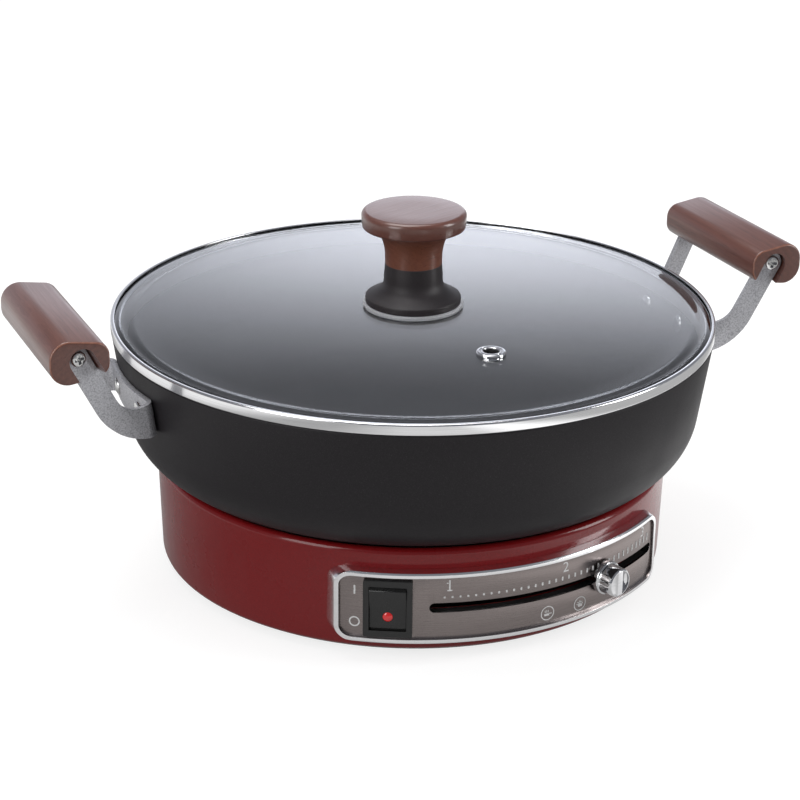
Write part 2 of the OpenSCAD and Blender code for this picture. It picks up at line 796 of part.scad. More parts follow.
// Handle: one bent steel bracket with a wall plate and two arms
module handle_bracket(side) {
  plate_h = plate_up - plate_low;
  color("darkgray") on_wall(side) difference() {
    union() {
      rotate([0, 0, -bend_a]) rotate_extrude(angle = 2 * bend_a, $fn = 180)
        translate([plate_in_r, plate_low]) square([bracket_t, plate_h]);
      for (end = [-1, 1]) {
        mirror([0, end > 0 ? 0 : 1, 0]) rotate([0, 0, bend_a]) translate([bend_at_r, 0, 0])
          rotate([0, 0, 90 + arm_a - bend_a]) rotate_extrude(angle = 90 - arm_a + bend_a)
            translate([bend_r, plate_low]) square([bracket_t, plate_h]);
        in_arm(end, -bracket_t / 2, bracket_t / 2) arm_outline();
      }
    }
    for (end = [-1, 1])
      rivet_line(end) cylinder(d = rivet_d + 2 * run_gap, h = reach, center = true);
  }
}

// Handle: wooden grip, narrower towards the pan, with a slot at each end for an arm
module handle_grip(side) {
  color("sienna") difference() {
    rotate([0, 0, side > 0 ? 0 : 180]) translate([grip_x, grip_l / 2, grip_z]) rotate([90, 0, 0]) {
      translate([0, 0, grip_edge]) linear_extrude(grip_l - 2 * grip_edge) grip_section();
      linear_extrude(grip_l) grip_section(grip_step);
    }
    on_wall(side) for (end = [-1, 1]) {
      in_arm(end, -bracket_t / 2 - seat_gap, reach) {
        translate(grip_screw) circle(d = arm_w + 2 * slot_clear);
        translate(grip_screw) rotate(arm_lean - 90) translate([-arm_w / 2 - slot_clear, -reach])
          square([arm_w + 2 * slot_clear, reach]);
      }
      at_grip_screw(end) translate([0, 0, -grip_screw_l - over])
        cylinder(d = grip_screw_d + 2 * run_gap, h = grip_screw_l + over);
    }
  }
}

// The grip's end-on outline: flat sides between round corners
module grip_section(inset = 0) {
  x0 = -grip_d / 2 + inset;
  x1 = grip_d / 2 - inset;
  lean = atan2(grip_h_out - grip_h_in, 2 * grip_d);
  in_z = grip_h_in / 2 - inset - grip_in_r / cos(lean) + grip_in_r * tan(lean);
  out_z = grip_h_out / 2 - inset - grip_out_r / cos(lean) - grip_out_r * tan(lean);
  up = [-sin(lean), cos(lean)];
  in_c = [x0 + grip_in_r, in_z];
  out_c = [x1 - grip_out_r, out_z];
  top_in = in_c + grip_in_r * up;
  top_out = out_c + grip_out_r * up;
  polygon([
    top_in, [x0, in_c[1]], [x0, -in_c[1]], [top_in[0], -top_in[1]],
    [top_out[0], -top_out[1]], [x1, -out_c[1]], [x1, out_c[1]], top_out
  ]);
  for (m = [0, 1]) mirror([0, m]) {
    translate(in_c) circle(grip_in_r);
    translate(out_c) circle(grip_out_r);
  }
}

// Handle: two rivets with a low head on the plate and one inside the pan
module handle_rivets(side) {
  out = plate_out_r - wall_round_r + seat_gap;
  in = -pan_t - rivet_head_gap;
  dome = [for (a = [0:18:90]) [rivet_head_d / 2 * sin(a), rivet_head_h * cos(a)]];
  color("silver") on_wall(side) for (end = [-1, 1])
    rivet_line(end) rotate_extrude($fn = 48) polygon(concat(
      [for (p = dome) [p[0], in - p[1]]],
      [[rivet_d / 2, in], [rivet_d / 2, out]],
      [for (i = [len(dome) - 1:-1:0]) [dome[i][0], out + dome[i][1]]]
    ));
}

// Handle: two screws that hold the grip between the arms
module grip_screws(side) {
  shank_r = grip_screw_d / 2;
  head_r = grip_screw_head_d / 2;
  head_z0 = bracket_t / 2 + seat_gap;
  head_z1 = head_z0 + grip_screw_head_h;
  color("silver") on_wall(side) for (end = [-1, 1])
    at_grip_screw(end) rotate_extrude($fn = 48) polygon(concat(
      [[0, -grip_screw_l], [shank_r - grip_screw_tip[0], -grip_screw_l]],
      [[shank_r, grip_screw_tip[1] - grip_screw_l], [shank_r, head_z0], [head_r, head_z0]],
      arc([head_r - grip_screw_round, head_z1 - grip_screw_round], grip_screw_round, 0, 90, 4),
      [[0, head_z1]]
    ));
}

// Base: drawn steel shell with a rolled shoulder, an inner lip and openings for panel and inlet
module base_shell() {
  foot_r = shell_at(shell_z0 + shoulder_r);
  inner_r = shoulder_r - shell_t;
  slope_end = [lip_r1, lip_z];
  slope_in = shell_t * tan(22.5);
  color("#5e1218") difference() {
    rotate_extrude($fn = 180) polygon(concat(
      [[shell_lip_r, shell_z0]],
      arc([foot_r - shoulder_r, shell_z0 + shoulder_r], shoulder_r, -90, 0, 6),
      arc([crest_r, crest_z - shoulder_r], shoulder_r, 0, 135, 10),
      [slope_end, [lip_r0, lip_z], [lip_r0, lip_z - shell_t]],
      [slope_end + [slope_in, -shell_t]],
      arc([crest_r, crest_z - shoulder_r], inner_r, 135, 0, 10),
      arc([foot_r - shoulder_r, shell_z0 + shoulder_r], inner_r, 0, -90, 6),
      [[shell_lip_r, shell_z0 + shell_t]]
    ));
    arc_slot(slot_a0 - shell_slot_a[0], slot_a1 + shell_slot_a[1], panel_z, slot_h + 2 * slot_room,
             frame_r - slot_depth, frame_r);
    switch_opening(loose_gap);
    panel_studs(stud_d + 2 * slide_gap, slot_depth);
    outward(180, frame_r - slot_depth, frame_r + over) translate([0, panel_z])
      square([inlet_neck_w + 2 * slide_gap, inlet_neck_h + 2 * slide_gap], center = true);
    for (x = [-1, 1]) outward(180, frame_r - slot_depth, frame_r + over)
      translate([x * inlet_screw_x, panel_z]) circle(d = screw_hole_d);
  }
}

// Base: pressed bottom plate with a ring of vents
module bottom_plate() {
  color("#3a3a3c") translate([0, 0, foot_h]) linear_extrude(bottom_t) difference() {
    circle(shell_at(shell_z0 + shoulder_r) - shoulder_r - bottom_gap, $fn = 180);
    for (a = foot_angles) rotate(a - 90) translate([foot_ring_r, 0]) circle(d = foot_neck_d + 2 * slide_gap);
    for (a = post_angles) rotate(a - 90) translate([post_ring_r, 0]) circle(d = screw_hole_d);
    for (i = [0:vent_count - 1]) rotate(360 * i / vent_count) translate([vent_slot_r, 0]) {
      square([vent_slot[1] - vent_slot[0], vent_slot[0]], center = true);
      for (end = [-1, 1]) translate([end * (vent_slot[1] - vent_slot[0]) / 2, 0])
        circle(d = vent_slot[0], $fn = 32);
    }
  }
}

// Base: push-in rubber feet
module rubber_feet() {
  color("#1d1d1d") for (a = foot_angles)
    translate(spot(a, foot_ring_r, 0)) rotate_extrude() polygon([
      [0, 0], [foot_d / 2 - foot_edge, 0], [foot_d / 2, foot_edge], [foot_d / 2, foot_h],
      [foot_neck_d / 2, foot_h], [foot_neck_d / 2, bottom_top], [foot_barb_d / 2, bottom_top],
      [foot_neck_d / 2 - foot_edge, bottom_top + foot_barb_h], [0, bottom_top + foot_barb_h]
    ]);
}

// Base: screws through the bottom plate into the posts
module bottom_screws() {
  color("silver") for (a = post_angles) translate(spot(a, post_ring_r, foot_h)) {
    translate([0, 0, -screw_head_h]) cylinder(d = screw_head_d, h = screw_head_h, $fn = 48);
    cylinder(d = screw_d, h = bottom_t + screw_depth, $fn = 48);
  }
}

// Base: posts between the bottom plate and the heat shield, each with a stud on top
module support_posts() {
  color("lightgray") for (a = post_angles) translate(spot(a, post_ring_r, bottom_top)) difference() {
    union() {
      cylinder(d = post_d, h = shield_z0 - bottom_top);
      cylinder(d = screw_d, h = shield_top + stud_h - bottom_top);
    }
    translate([0, 0, -over]) cylinder(d = screw_d + 2 * run_gap, h = screw_depth + screw_tip + over);
  }
}

// Base: nuts that hold the heat shield on its posts
module post_nuts() {
  color("silver") for (a = post_angles) translate(spot(a, post_ring_r, shield_top)) difference() {
    cylinder(d = nut_w, h = nut_h, $fn = 6);
    translate([0, 0, -over]) cylinder(d = screw_d + 2 * run_gap, h = nut_h + 2 * over);
  }
}

// Base: pressed dish that keeps the heat away from the wiring
module heat_shield() {
  flange_r = lip_r1 - shield_lap;
  cut_h = shield_t + 2 * over;
  color("lightgray") difference() {
    rotate_extrude($fn = 180) polygon([
      [0, shield_z0], [shield_floor_r, shield_z0], [shield_rim_r, lip_z], [flange_r, lip_z],
      [flange_r, lip_z + shield_t], [shield_rim_r - shield_t, lip_z + shield_t],
      [shield_floor_r - shield_t, shield_top], [0, shield_top]
    ]);
    translate([0, 0, shield_z0 - over]) {
      cylinder(d = bushing_d + 2 * bushing_room, h = cut_h);
      for (a = post_angles) translate(spot(a, post_ring_r, 0)) cylinder(d = screw_hole_d, h = cut_h);
      for (a = spacer_angles) translate(spot(a, spacer_ring_r, 0)) cylinder(d = screw_hole_d, h = cut_h);
      for (end = [-1, 1]) translate(spot(180 + end * pin_a, loop_r, 0)) cylinder(d = pin_hole_d, h = cut_h);
      for (p = thermo_terminals) translate([p[0], p[1], cut_h / 2])
        cube([terminal_w + 2 * terminal_room, terminal_t + 2 * terminal_room, cut_h], center = true);
    }
  }
}

// Heater: cast plate with a ribbed groove for the tube
module heating_plate() {
  color("silver") difference() {
    rotate_extrude($fn = 180) polygon(concat(
      [[0, plate_z0], [rib_in, plate_z0], [rib_in + rib_taper, plate_z0 - rib_h]],
      [[rib_out - rib_taper, plate_z0 - rib_h], [rib_out, plate_z0], [plate_r - plate_edge, plate_z0]],
      [[plate_r, plate_z0 + plate_edge]],
      arc([plate_r - plate_edge, seat_z - plate_edge], plate_edge, 0, 90, 5),
      [[0, seat_z]]
    ));
    rotate_extrude($fn = 180) translate([loop_r, loop_z]) circle(d = tube_d + 2 * run_gap, $fn = 48);
    for (a = spacer_angles) translate(spot(a, spacer_ring_r, plate_z0 - over))
      cylinder(d = screw_d + 2 * run_gap, h = spacer_screw_in + screw_tip + over);
  }
}

// Heater: one loop of sheathed tube with a pin at each end
module heater_tube() {
  color("dimgray") {
    sector(180 + loop_gap_a / 2, 540 - loop_gap_a / 2) translate([loop_r, loop_z])
      circle(d = tube_d, $fn = 48);
    for (end = [-1, 1]) translate(spot(180 + end * pin_a, loop_r, pin_z))
      cylinder(d = pin_d, h = loop_z - pin_z, $fn = 48);
  }
}

// Heater: spacers between shield and plate
module plate_spacers() {
  color("lightgray") for (a = spacer_angles) translate(spot(a, spacer_ring_r, shield_top)) difference() {
    cylinder(d = screw_d + 2 * spacer_wall, h = spacer_h);
    translate([0, 0, -over]) cylinder(d = screw_d + 2 * run_gap, h = spacer_h + 2 * over);
  }
}

// Heater: screws up through the shield and the spacers
module spacer_screws() {
  color("silver") for (a = spacer_angles) translate(spot(a, spacer_ring_r, shield_z0)) {
    translate([0, 0, -screw_head_h]) cylinder(d = screw_head_d, h = screw_head_h, $fn = 48);
    cylinder(d = screw_d, h = shield_t + spacer_h + spacer_screw_in, $fn = 48);
  }
}

// Thermostat: moulded body with two ears against the heating plate
module thermostat_body() {
  color("ivory") difference() {
    union() {
      translate([0, 0, thermo_z0]) cylinder(d = thermo_d, h = plate_z0 - thermo_z0);
      translate([0, 0, plate_z0 - ear_t]) linear_extrude(ear_t)
        round_rect(ear_l, ear_w, ear_w / 2 - slide_gap);
    }
    translate([0, 0, thermo_z0 - over])
      cylinder(d = shaft_d + 2 * run_gap, h = shaft_top - thermo_z0 + shaft_room + over);
    for (p = thermo_terminals) translate([p[0], p[1], thermo_z0])
      cube([terminal_w, terminal_t, 2 * terminal_in] + 2 * slide_gap * [1, 1, 1], center = true);
  }
}

// Thermostat: brass bushing that carries the shaft
module thermostat_bushing() {
  color("goldenrod") translate([0, 0, bushing_z0]) difference() {
    cylinder(d = bushing_d, h = thermo_z0 - bushing_z0);
    translate([0, 0, -over]) cylinder(d = shaft_d + 2 * run_gap, h = reach);
  }
}

// Thermostat: two blade terminals down through the shield
module thermostat_terminals() {
  color("goldenrod") for (p = thermo_terminals) translate([p[0], p[1], 0])
    translate([-terminal_w / 2, -terminal_t / 2, thermo_terminal_z0])
      cube([terminal_w, terminal_t, thermo_z0 + terminal_in - thermo_terminal_z0]);
}

// Thermal fuse in its clip under the heating plate
module thermal_fuse() {
  color("white") translate([0, -fuse_r, plate_z0 - fuse_d / 2]) {
    rotate([0, 90, 0]) cylinder(d = fuse_d, h = fuse_l, center = true, $fn = 48);
    translate([0, 0, fuse_d / 4]) cube([fuse_l / 2, clip_w, fuse_d / 2], center = true);
  }
}

// Panel: a rounded outline pushed onto the round wall from the front
module panel_shape(l, h, corner) {
  outward(0, 0, frame_r + over) translate([0, frame_mid_z]) round_rect(l, h, corner);
}

// Panel: chrome frame round the plate
module panel_frame() {
  color("gainsboro") difference() {
    intersection() {
      rotate_extrude($fn = 180) polygon([
        [shell_at(frame_z0) + slide_gap, frame_z0], [frame_r - frame_edge, frame_z0],
        [frame_r, frame_z0 + frame_edge], [frame_r, frame_z1 - frame_edge],
        [frame_r - frame_edge, frame_z1], [shell_at(frame_z1) + slide_gap, frame_z1]
      ]);
      panel_shape(frame_l, frame_h, frame_corner_r);
    }
    panel_shape(window_l, window_h, window_corner_r);
  }
}

// Panel: studs through the shell
module panel_studs(d, length) {
  for (a = stud_angles, up = [-1, 1])
    outward(a, frame_r - length, frame_r - stud_root) translate([0, panel_z + up * stud_dz])
      circle(d = d, $fn = 48);
}

// Panel: a layer between the wall's outer face, or radius r0, and radius r1, that fits the frame's window
module panel_layer(r0, r1) {
  z0 = frame_mid_z - window_h / 2;
  z1 = frame_mid_z + window_h / 2;
  intersection() {
    rotate_extrude($fn = 180) polygon([
      [max(r0, shell_at(z0) + slide_gap), z0], [r1, z0], [r1, z1], [max(r0, shell_at(z1) + slide_gap), z1]
    ]);
    panel_shape(window_l - 2 * slide_gap, window_h - 2 * slide_gap, window_corner_r);
  }
}

// Panel: opening for the switch's box, with a gap all round
module switch_opening(gap) {
  outward(switch_a, frame_r - 2 * slot_depth, frame_r) translate([0, panel_z])
    square([body_w + 2 * gap, body_h + 2 * gap], center = true);
}

// Panel: moulded carrier behind the plate, held by studs through the shell
module panel_carrier() {
  color("#222222") difference() {
    union() {
      panel_layer(0, panel_r0 - seat_gap);
      panel_studs(stud_d, panel_proud + shell_t + push_nut_t + stud_in);
    }
    arc_slot(slot_a0 - carrier_slot_a[0], slot_a1 + carrier_slot_a[1], panel_z, slot_h + slot_room,
             frame_r - slot_depth, frame_r);
    switch_opening(slide_gap);
  }
}

// Panel: brushed plate with the slot and the switch's opening
module panel_plate() {
  color("#77706d") difference() {
    panel_layer(panel_r0, panel_r1);
    arc_slot(slot_a0, slot_a1, panel_z, slot_h, frame_r - slot_depth, frame_r);
    switch_opening(slide_gap);
  }
}

// Panel: push nuts on the studs, inside the shell
module panel_push_nuts() {
  color("silver") for (a = stud_angles, up = [-1, 1]) {
    z = panel_z + up * stud_dz;
    d1 = shell_at(z) - shell_t / cos(base_draft) - loose_gap;
    outward(a, d1 - push_nut_t, d1) translate([0, z]) difference() {
      circle(d = push_nut_d);
      circle(d = stud_d + 2 * run_gap);
    }
  }
}

// Switch: bezel and box with a round-bottomed pocket for the rocker
module switch_housing() {
  color("#1f1f21") difference() {
    union() {
      outward(switch_a, bezel_d0, bezel_d1) translate([0, panel_z])
        round_rect(bezel_w, bezel_h, bezel_corner_r);
      outward(switch_a, bezel_d0 - switch_d, bezel_d0) translate([0, panel_z])
        square([body_w, body_h], center = true);
    }
    at_pivot() {
      cylinder(r = pocket_r, h = pocket_w, center = true);
      cylinder(d = trunnion_d + 2 * run_gap, h = pocket_w + 2 * trunnion_l + 2 * loose_gap, center = true);
    }
  }
}

// The rocker's pivot: z runs along the pivot, -y points out of the panel and x down
module at_pivot() {
  rotate([0, 0, switch_a]) translate([0, -pivot_d, panel_z]) rotate([0, 90, 0]) children();
}

// Switch: blade terminals behind the box
module switch_terminals() {
  color("goldenrod") for (b = blades)
    outward(switch_a, bezel_d0 - switch_d - blade_l, bezel_d0 - switch_d) translate([b[0], panel_z + b[1]])
      square([terminal_t, terminal_w], center = true);
}

// Switch: rocker with two slanted faces, standing at off with its lower half pressed in
module switch_rocker() {
  rise = rocker_r * tan(rocker_swing / 2);
  color("#2a2a2c") at_pivot() difference() {
    rotate([0, 0, rocker_swing / 2]) union() {
      linear_extrude(rocker_w, center = true) intersection() {
        circle(rocker_r);
        polygon([[-rocker_r, rocker_back], [-rocker_r, -valley - rise], [0, -valley],
                 [rocker_r, -valley - rise], [rocker_r, rocker_back]]);
      }
      cylinder(d = trunnion_d, h = rocker_w + 2 * trunnion_l, center = true);
    }
    at_lens() translate([0, 0, -lens_in]) cylinder(d = lens_d + 2 * run_gap, h = lens_in + reach);
  }
}

// The lens's place in the rocker's lower face: z points out of that face
module at_lens() {
  translate([lens_down, -valley * cos(rocker_swing / 2), 0]) rotate([90, 0, 0]) children();
}

// Switch: red lens set in the rocker
module indicator_lens() {
  bulge = (pow(lens_d / 2, 2) + pow(lens_out, 2)) / (2 * lens_out);
  color("red") at_pivot() at_lens() rotate_extrude($fn = 48) polygon(concat(
    [[0, -lens_in], [lens_d / 2, -lens_in]],
    [for (i = [0:6]) let (r = lens_d / 2 * (1 - i / 6)) [r, lens_out - bulge + sqrt(bulge * bulge - r * r)]]
  ));
}

// Slider: thermostat shaft with a collar above the lever
module thermostat_shaft() {
  color("lightgray") {
    translate([0, 0, shaft_z0]) cylinder(d = shaft_d, h = shaft_top - shaft_z0);
    translate([0, 0, lever_z1]) cylinder(d = collar_d, h = collar_h);
  }
}

// Slider: flat steel lever from the shaft out through the slot
module slider_lever() {
  color("silver") translate([0, 0, lever_z0]) rotate(slider_a) linear_extrude(lever_t) difference() {
    union() {
      circle(d = hub_d);
      polygon([[hub_step - hub_d / 2, 0], [-lever_w / 2, lever_taper - stem_r0], [-lever_w / 2, -tongue_r1],
               [lever_w / 2, -tongue_r1], [lever_w / 2, lever_taper - stem_r0], [hub_d / 2 - hub_step, 0]]);
    }
    circle(d = shaft_d + 2 * run_gap);
  }
}

// Slider: chrome knob with a stem through the slot, and a face scooped out either side of a ridge
module slider_knob() {
  collar_r = knob_d / 2;
  face_r = knob_face_d / 2;
  collar_r1 = knob_r0 + collar_t;
  color("whitesmoke") difference() {
    union() {
      outward(slider_a, stem_r0, knob_r0 + over) translate([0, panel_z])
        square([stem_w, stem_h], center = true);
      rotate([0, 0, slider_a]) translate([0, 0, panel_z]) rotate([90, 0, 0]) rotate_extrude() polygon(concat(
        [[0, knob_r0]],
        arc([collar_r - collar_foot, knob_r0 + collar_foot], collar_foot, -90, 0, 3),
        arc([collar_r - collar_edge, collar_r1 - collar_edge], collar_edge, 0, 90, 3),
        [[face_r + knob_waist[0], collar_r1 + knob_waist[1]], [face_r, knob_r1 - knob_edge[1]]],
        [[face_r - knob_edge[0], knob_r1], [0, knob_r1]]
      ));
    }
    outward(slider_a, stem_r0 - over, tongue_r1 + seat_gap) translate([0, panel_z])
      square([lever_w + 2 * seat_gap, lever_t + 2 * seat_gap], center = true);
    intersection() {
      outward(slider_a, knob_r1 - scoop_depth, knob_r1 + over) translate([0, panel_z])
        circle(d = knob_face_d - 2 * face_rim);
      for (side = [-1, 1]) rotate([0, 0, slider_a])
        translate([side * (scoop_r + ridge_half), scoop_depth - knob_r1 - scoop_r - scoop_sink, panel_z])
          cylinder(r = scoop_r, h = reach, center = true);
    }
  }
}

// Slider: nut under the lever
module lever_nut() {
  color("silver") translate([0, 0, lever_z0 - lever_nut_h]) difference() {
    cylinder(d = lever_nut_w, h = lever_nut_h, $fn = 6);
    translate([0, 0, -over]) cylinder(d = shaft_d + 2 * run_gap, h = lever_nut_h + 2 * over);
  }
}

// Inlet: moulded surround that makes a flat seat on the round wall
module inlet_surround() {
  color("#222222") difference() {
    union() {
      difference() {
        outward(180, frame_r - 2 * slot_depth, inlet_face) translate([0, panel_z])
          round_rect(surround_w, surround_h, surround_r);
        rotate_extrude($fn = 180) polygon([
          [0, 0], [shell_at(0) + slide_gap, 0], [wall_top[0] + slide_gap, wall_top[1]], [0, wall_top[1]]
        ]);
      }
      outward(180, shell_at(panel_z) - shell_t - inlet_neck_in, inlet_face) translate([0, panel_z])
        square([inlet_neck_w, inlet_neck_h], center = true);
    }
    outward(180, frame_r - 2 * slot_depth, frame_r + over) translate([0, panel_z])
      square([inlet_w + 2 * slide_gap, inlet_h + 2 * slide_gap], center = true);
    for (x = [-1, 1]) outward(180, frame_r - 2 * slot_depth, frame_r + over)
      translate([x * inlet_screw_x, panel_z]) circle(d = screw_d + 2 * slide_gap);
  }
}

// The socket's outline: a rectangle with two cut corners
module socket_outline() {
  w = socket_w / 2;
  h = socket_h / 2;
  polygon([
    [-w, -h], [w, -h], [w, h - socket_cut], [w - socket_cut, h], [socket_cut - w, h], [-w, h - socket_cut]
  ]);
}

// Inlet: three-pin socket body with a flange
module inlet_socket() {
  color("#1a1a1a") difference() {
    union() {
      outward(180, inlet_face + seat_gap, inlet_face + inlet_flange) translate([0, panel_z])
        round_rect(inlet_w + 2 * inlet_lap, inlet_h + 2 * inlet_lap, inlet_flange_r);
      outward(180, inlet_face - inlet_back, inlet_face + seat_gap) translate([0, panel_z])
        square([inlet_w, inlet_h], center = true);
    }
    outward(180, inlet_face + inlet_flange - socket_depth, inlet_face + inlet_flange + over)
      translate([0, panel_z]) socket_outline();
    for (p = pin_places()) outward(180, inlet_face - reach, inlet_face) translate(p + [0, panel_z])
      square(pin_size + [2 * run_gap, 2 * run_gap], center = true);
  }
}

// The three pins' places across the socket
function pin_places() = [[-pin_spread, -pin_rise], [pin_spread, -pin_rise], [0, pin_rise]];

// Inlet: three flat pins with a tag behind each
module inlet_pins() {
  floor_d = inlet_face + inlet_flange - socket_depth;
  color("silver") for (p = pin_places())
    outward(180, inlet_face - inlet_back - tag_len, floor_d + pin_len) translate(p + [0, panel_z])
      square(pin_size, center = true);
}

// Inlet: screws through the surround into the shell
module inlet_screws() {
  color("dimgray") for (x = [-1, 1]) {
    outward(180, inlet_face + seat_gap, inlet_face + screw_head_h) translate([x * inlet_screw_x, panel_z])
      circle(d = inlet_head_d, $fn = 48);
    outward(180, inlet_face - inlet_screw_l, inlet_face + 2 * seat_gap)
      translate([x * inlet_screw_x, panel_z]) circle(d = screw_d, $fn = 48);
  }
}

// Ends of the wiring: behind an inlet tag, behind a switch blade, under a heater pin or thermostat blade
function tag_end(p) = [-p[0], inlet_face - inlet_back - tag_len - wire_gap, panel_z + p[1]];
function blade_end(b) = let (d = bezel_d0 - switch_d - blade_l - wire_gap)
  [b[0] * cos(switch_a) + d * sin(switch_a), b[0] * sin(switch_a) - d * cos(switch_a), panel_z + b[1]];
function pin_end(end) = spot(180 + end * pin_a, loop_r, pin_z - wire_gap);
function thermo_end(i) = [thermo_terminals[i][0], thermo_terminals[i][1], thermo_terminal_z0 - wire_gap];

// Places on the way: nearer to the middle, and straight above or below
function inward(p, by) = p - by * [p[0], p[1], 0] / norm([p[0], p[1]]);
function at_level(p, z) = [p[0], p[1], z];

// Wiring: from the inlet round the base to the switch
module wire_mains_live() {
  from = tag_end(pin_places()[1]);
  to = blade_end(blades[0]);
  from_in = from - [0, tag_bend, 0];
  to_in = inward(to, live_bend);
  round_base = [for (a = live_angles) spot(a, wire_ring_r, wire_z)];
  color("brown") cable(concat(
    [from, from_in, at_level(from_in, wire_z)], round_base, [at_level(to_in, wire_z), to_in, to]
  ));
}

// Wiring: from the switch to the thermostat
module wire_switched_live() {
  from = blade_end(blades[1]);
  to = thermo_end(1);
  from_in = inward(from, switched_bend);
  turn = spot(switched_angle, switched_r, wire_z);
  color("firebrick") cable([from, from_in, at_level(from_in, wire_z), turn, at_level(to, wire_z), to]);
}

// Wiring: from the thermostat to the heater
module wire_heater_feed() {
  from = thermo_end(0);
  to = pin_end(1);
  color("firebrick") cable([from, at_level(from, wire_z + feed_up), at_level(to, wire_z + feed_up), to]);
}

// Wiring: from the inlet to the heater
module wire_neutral() {
  from = tag_end(pin_places()[0]);
  to = pin_end(-1);
  from_in = from - [0, tag_bend, 0];
  color("steelblue") cable([from, from_in, at_level(from_in, wire_z), at_level(to, wire_z), to]);
}

// Wiring: from the inlet to the bottom plate
module wire_earth() {
  from = tag_end(pin_places()[2]);
  from_in = from - [0, earth_bend, 0];
  color("yellowgreen") cable([from, from_in, at_level(from_in, wire_z), at_level(from_in, bottom_top)]);
}

lid_glass();
lid_rim_band();
lid_vent_eyelet();
lid_knob_cap();
lid_knob_skirt();
lid_knob_gasket();
lid_knob_washer();
lid_knob_screw();
pan();
handle_bracket(-1);  // left_handle_bracket
handle_bracket(1);  // right_handle_bracket
handle_grip(-1);  // left_handle_grip
handle_grip(1);  // right_handle_grip
handle_rivets(-1);  // left_handle_rivets
handle_rivets(1);  // right_handle_rivets
grip_screws(-1);  // left_grip_screws
grip_screws(1);  // right_grip_screws
base_shell();
bottom_plate();
rubber_feet();
bottom_screws();
support_posts();
post_nuts();
heat_shield();
heating_plate();
heater_tube();
plate_spacers();
spacer_screws();
thermostat_body();
thermostat_bushing();
thermostat_terminals();
thermal_fuse();
panel_frame();
panel_carrier();
panel_plate();
panel_push_nuts();
switch_housing();
switch_terminals();
switch_rocker();
indicator_lens();
thermostat_shaft();
slider_lever();
slider_knob();
lever_nut();
inlet_surround();
inlet_socket();
inlet_pins();
inlet_screws();
wire_mains_live();
wire_switched_live();
wire_heater_feed();
wire_neutral();
wire_earth();
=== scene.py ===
"""Looks of a round electric table cooker: red base, dark lift-off pan, flat glass lid, wooden grips."""

import math

import bpy
from mathutils import Matrix, Vector


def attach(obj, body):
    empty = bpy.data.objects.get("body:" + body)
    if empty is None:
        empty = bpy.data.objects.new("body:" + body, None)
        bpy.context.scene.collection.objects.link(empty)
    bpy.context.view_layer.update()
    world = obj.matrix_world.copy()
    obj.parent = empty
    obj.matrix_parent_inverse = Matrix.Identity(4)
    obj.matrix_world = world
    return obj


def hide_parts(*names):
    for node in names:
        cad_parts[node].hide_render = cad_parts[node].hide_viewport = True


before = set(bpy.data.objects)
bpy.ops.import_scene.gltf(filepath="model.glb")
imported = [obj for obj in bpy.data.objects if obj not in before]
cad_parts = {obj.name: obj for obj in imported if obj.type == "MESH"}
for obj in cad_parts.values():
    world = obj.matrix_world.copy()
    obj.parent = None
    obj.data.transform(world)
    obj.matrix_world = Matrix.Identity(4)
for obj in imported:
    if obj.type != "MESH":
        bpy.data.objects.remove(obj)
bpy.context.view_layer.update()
scene = bpy.context.scene
scene.view_settings.view_transform = "Standard"
MM = 0.001


# Sizes in mm, and angles round the base in degrees from the front

DRAFT = math.radians(7.86)
SEAT_Z = 58.4
SEAT_R = 121.6
CORNER_R = 32.2
PAN_T = 3.0
RIM_Z = 130.4
WALL_FOOT = (SEAT_R + CORNER_R * math.cos(DRAFT), SEAT_Z + CORNER_R - CORNER_R * math.sin(DRAFT))
RIM_R = WALL_FOOT[0] + (RIM_Z - WALL_FOOT[1]) * math.tan(DRAFT)

LID_R = 160.0
LID_TOP = RIM_Z + 5.6
GLASS_R = 159.05
GLASS_Z0 = RIM_Z + 0.8
GLASS_T = 3.9
GLASS_RISE = 3.05
GLASS_TOP = GLASS_Z0 + GLASS_T + GLASS_RISE
SHOULDER_R = 153.6
SHOULDER_RISE = 0.6
DOME_R = 147.0
VENT_A = 5.7
VENT_R = 80.0

KNOB_TOP = 190.8
NECK_Z = 162.0
NECK_R = 15.1
KNOB_FOOT_Z = GLASS_TOP + 2.15
KNOB_FIT = 0.05

BRACKET_Z = RIM_Z - 21.2
GRIP_OUT = 37.0
GRIP_UP = 46.3
GRIP_ARM = math.radians(12)
ARM_HALF_T = 1.3

INLET_Z = 31.0
INLET_FACE = 140.9
INLET_SCREW_X = 19.0
BOTTOM_SCREW_R = 96.0
BOTTOM_SCREW_Z = 3.0
BOTTOM_SCREW_A = (80, 200, 320)

PLATE_R = 142.4
PRINT_PROUD = 0.02
PRINT_T = 0.06


# Modelling helpers

MERGE_GAP = 0.002 * MM
FLAT_WITHIN = math.radians(0.4)
BEVEL_FROM = math.radians(28)
TURNED_SMOOTH = 32
SOLID_SMOOTH = 40


def rest_tools():
    """Leaves edit mode and clears the selection."""
    if bpy.context.object and bpy.context.object.mode != "OBJECT":
        bpy.ops.object.mode_set(mode="OBJECT")
    bpy.ops.object.select_all(action="DESELECT")


def pick(obj):
    """Makes obj the only selected object."""
    rest_tools()
    obj.select_set(True)
    bpy.context.view_layer.objects.active = obj


def smoothed(obj, angle):
    """Shades obj smooth, apart from edges sharper than the angle in degrees."""
    pick(obj)
    bpy.ops.object.shade_smooth_by_angle(angle=math.radians(angle))
    return obj


def arc(x, z, radius, start, end, steps):
    """Points of x and height on an arc, angles in degrees."""
    turns = [math.radians(start + (end - start) * i / steps) for i in range(steps + 1)]
    return [(x + radius * math.cos(turn), z + radius * math.sin(turn)) for turn in turns]


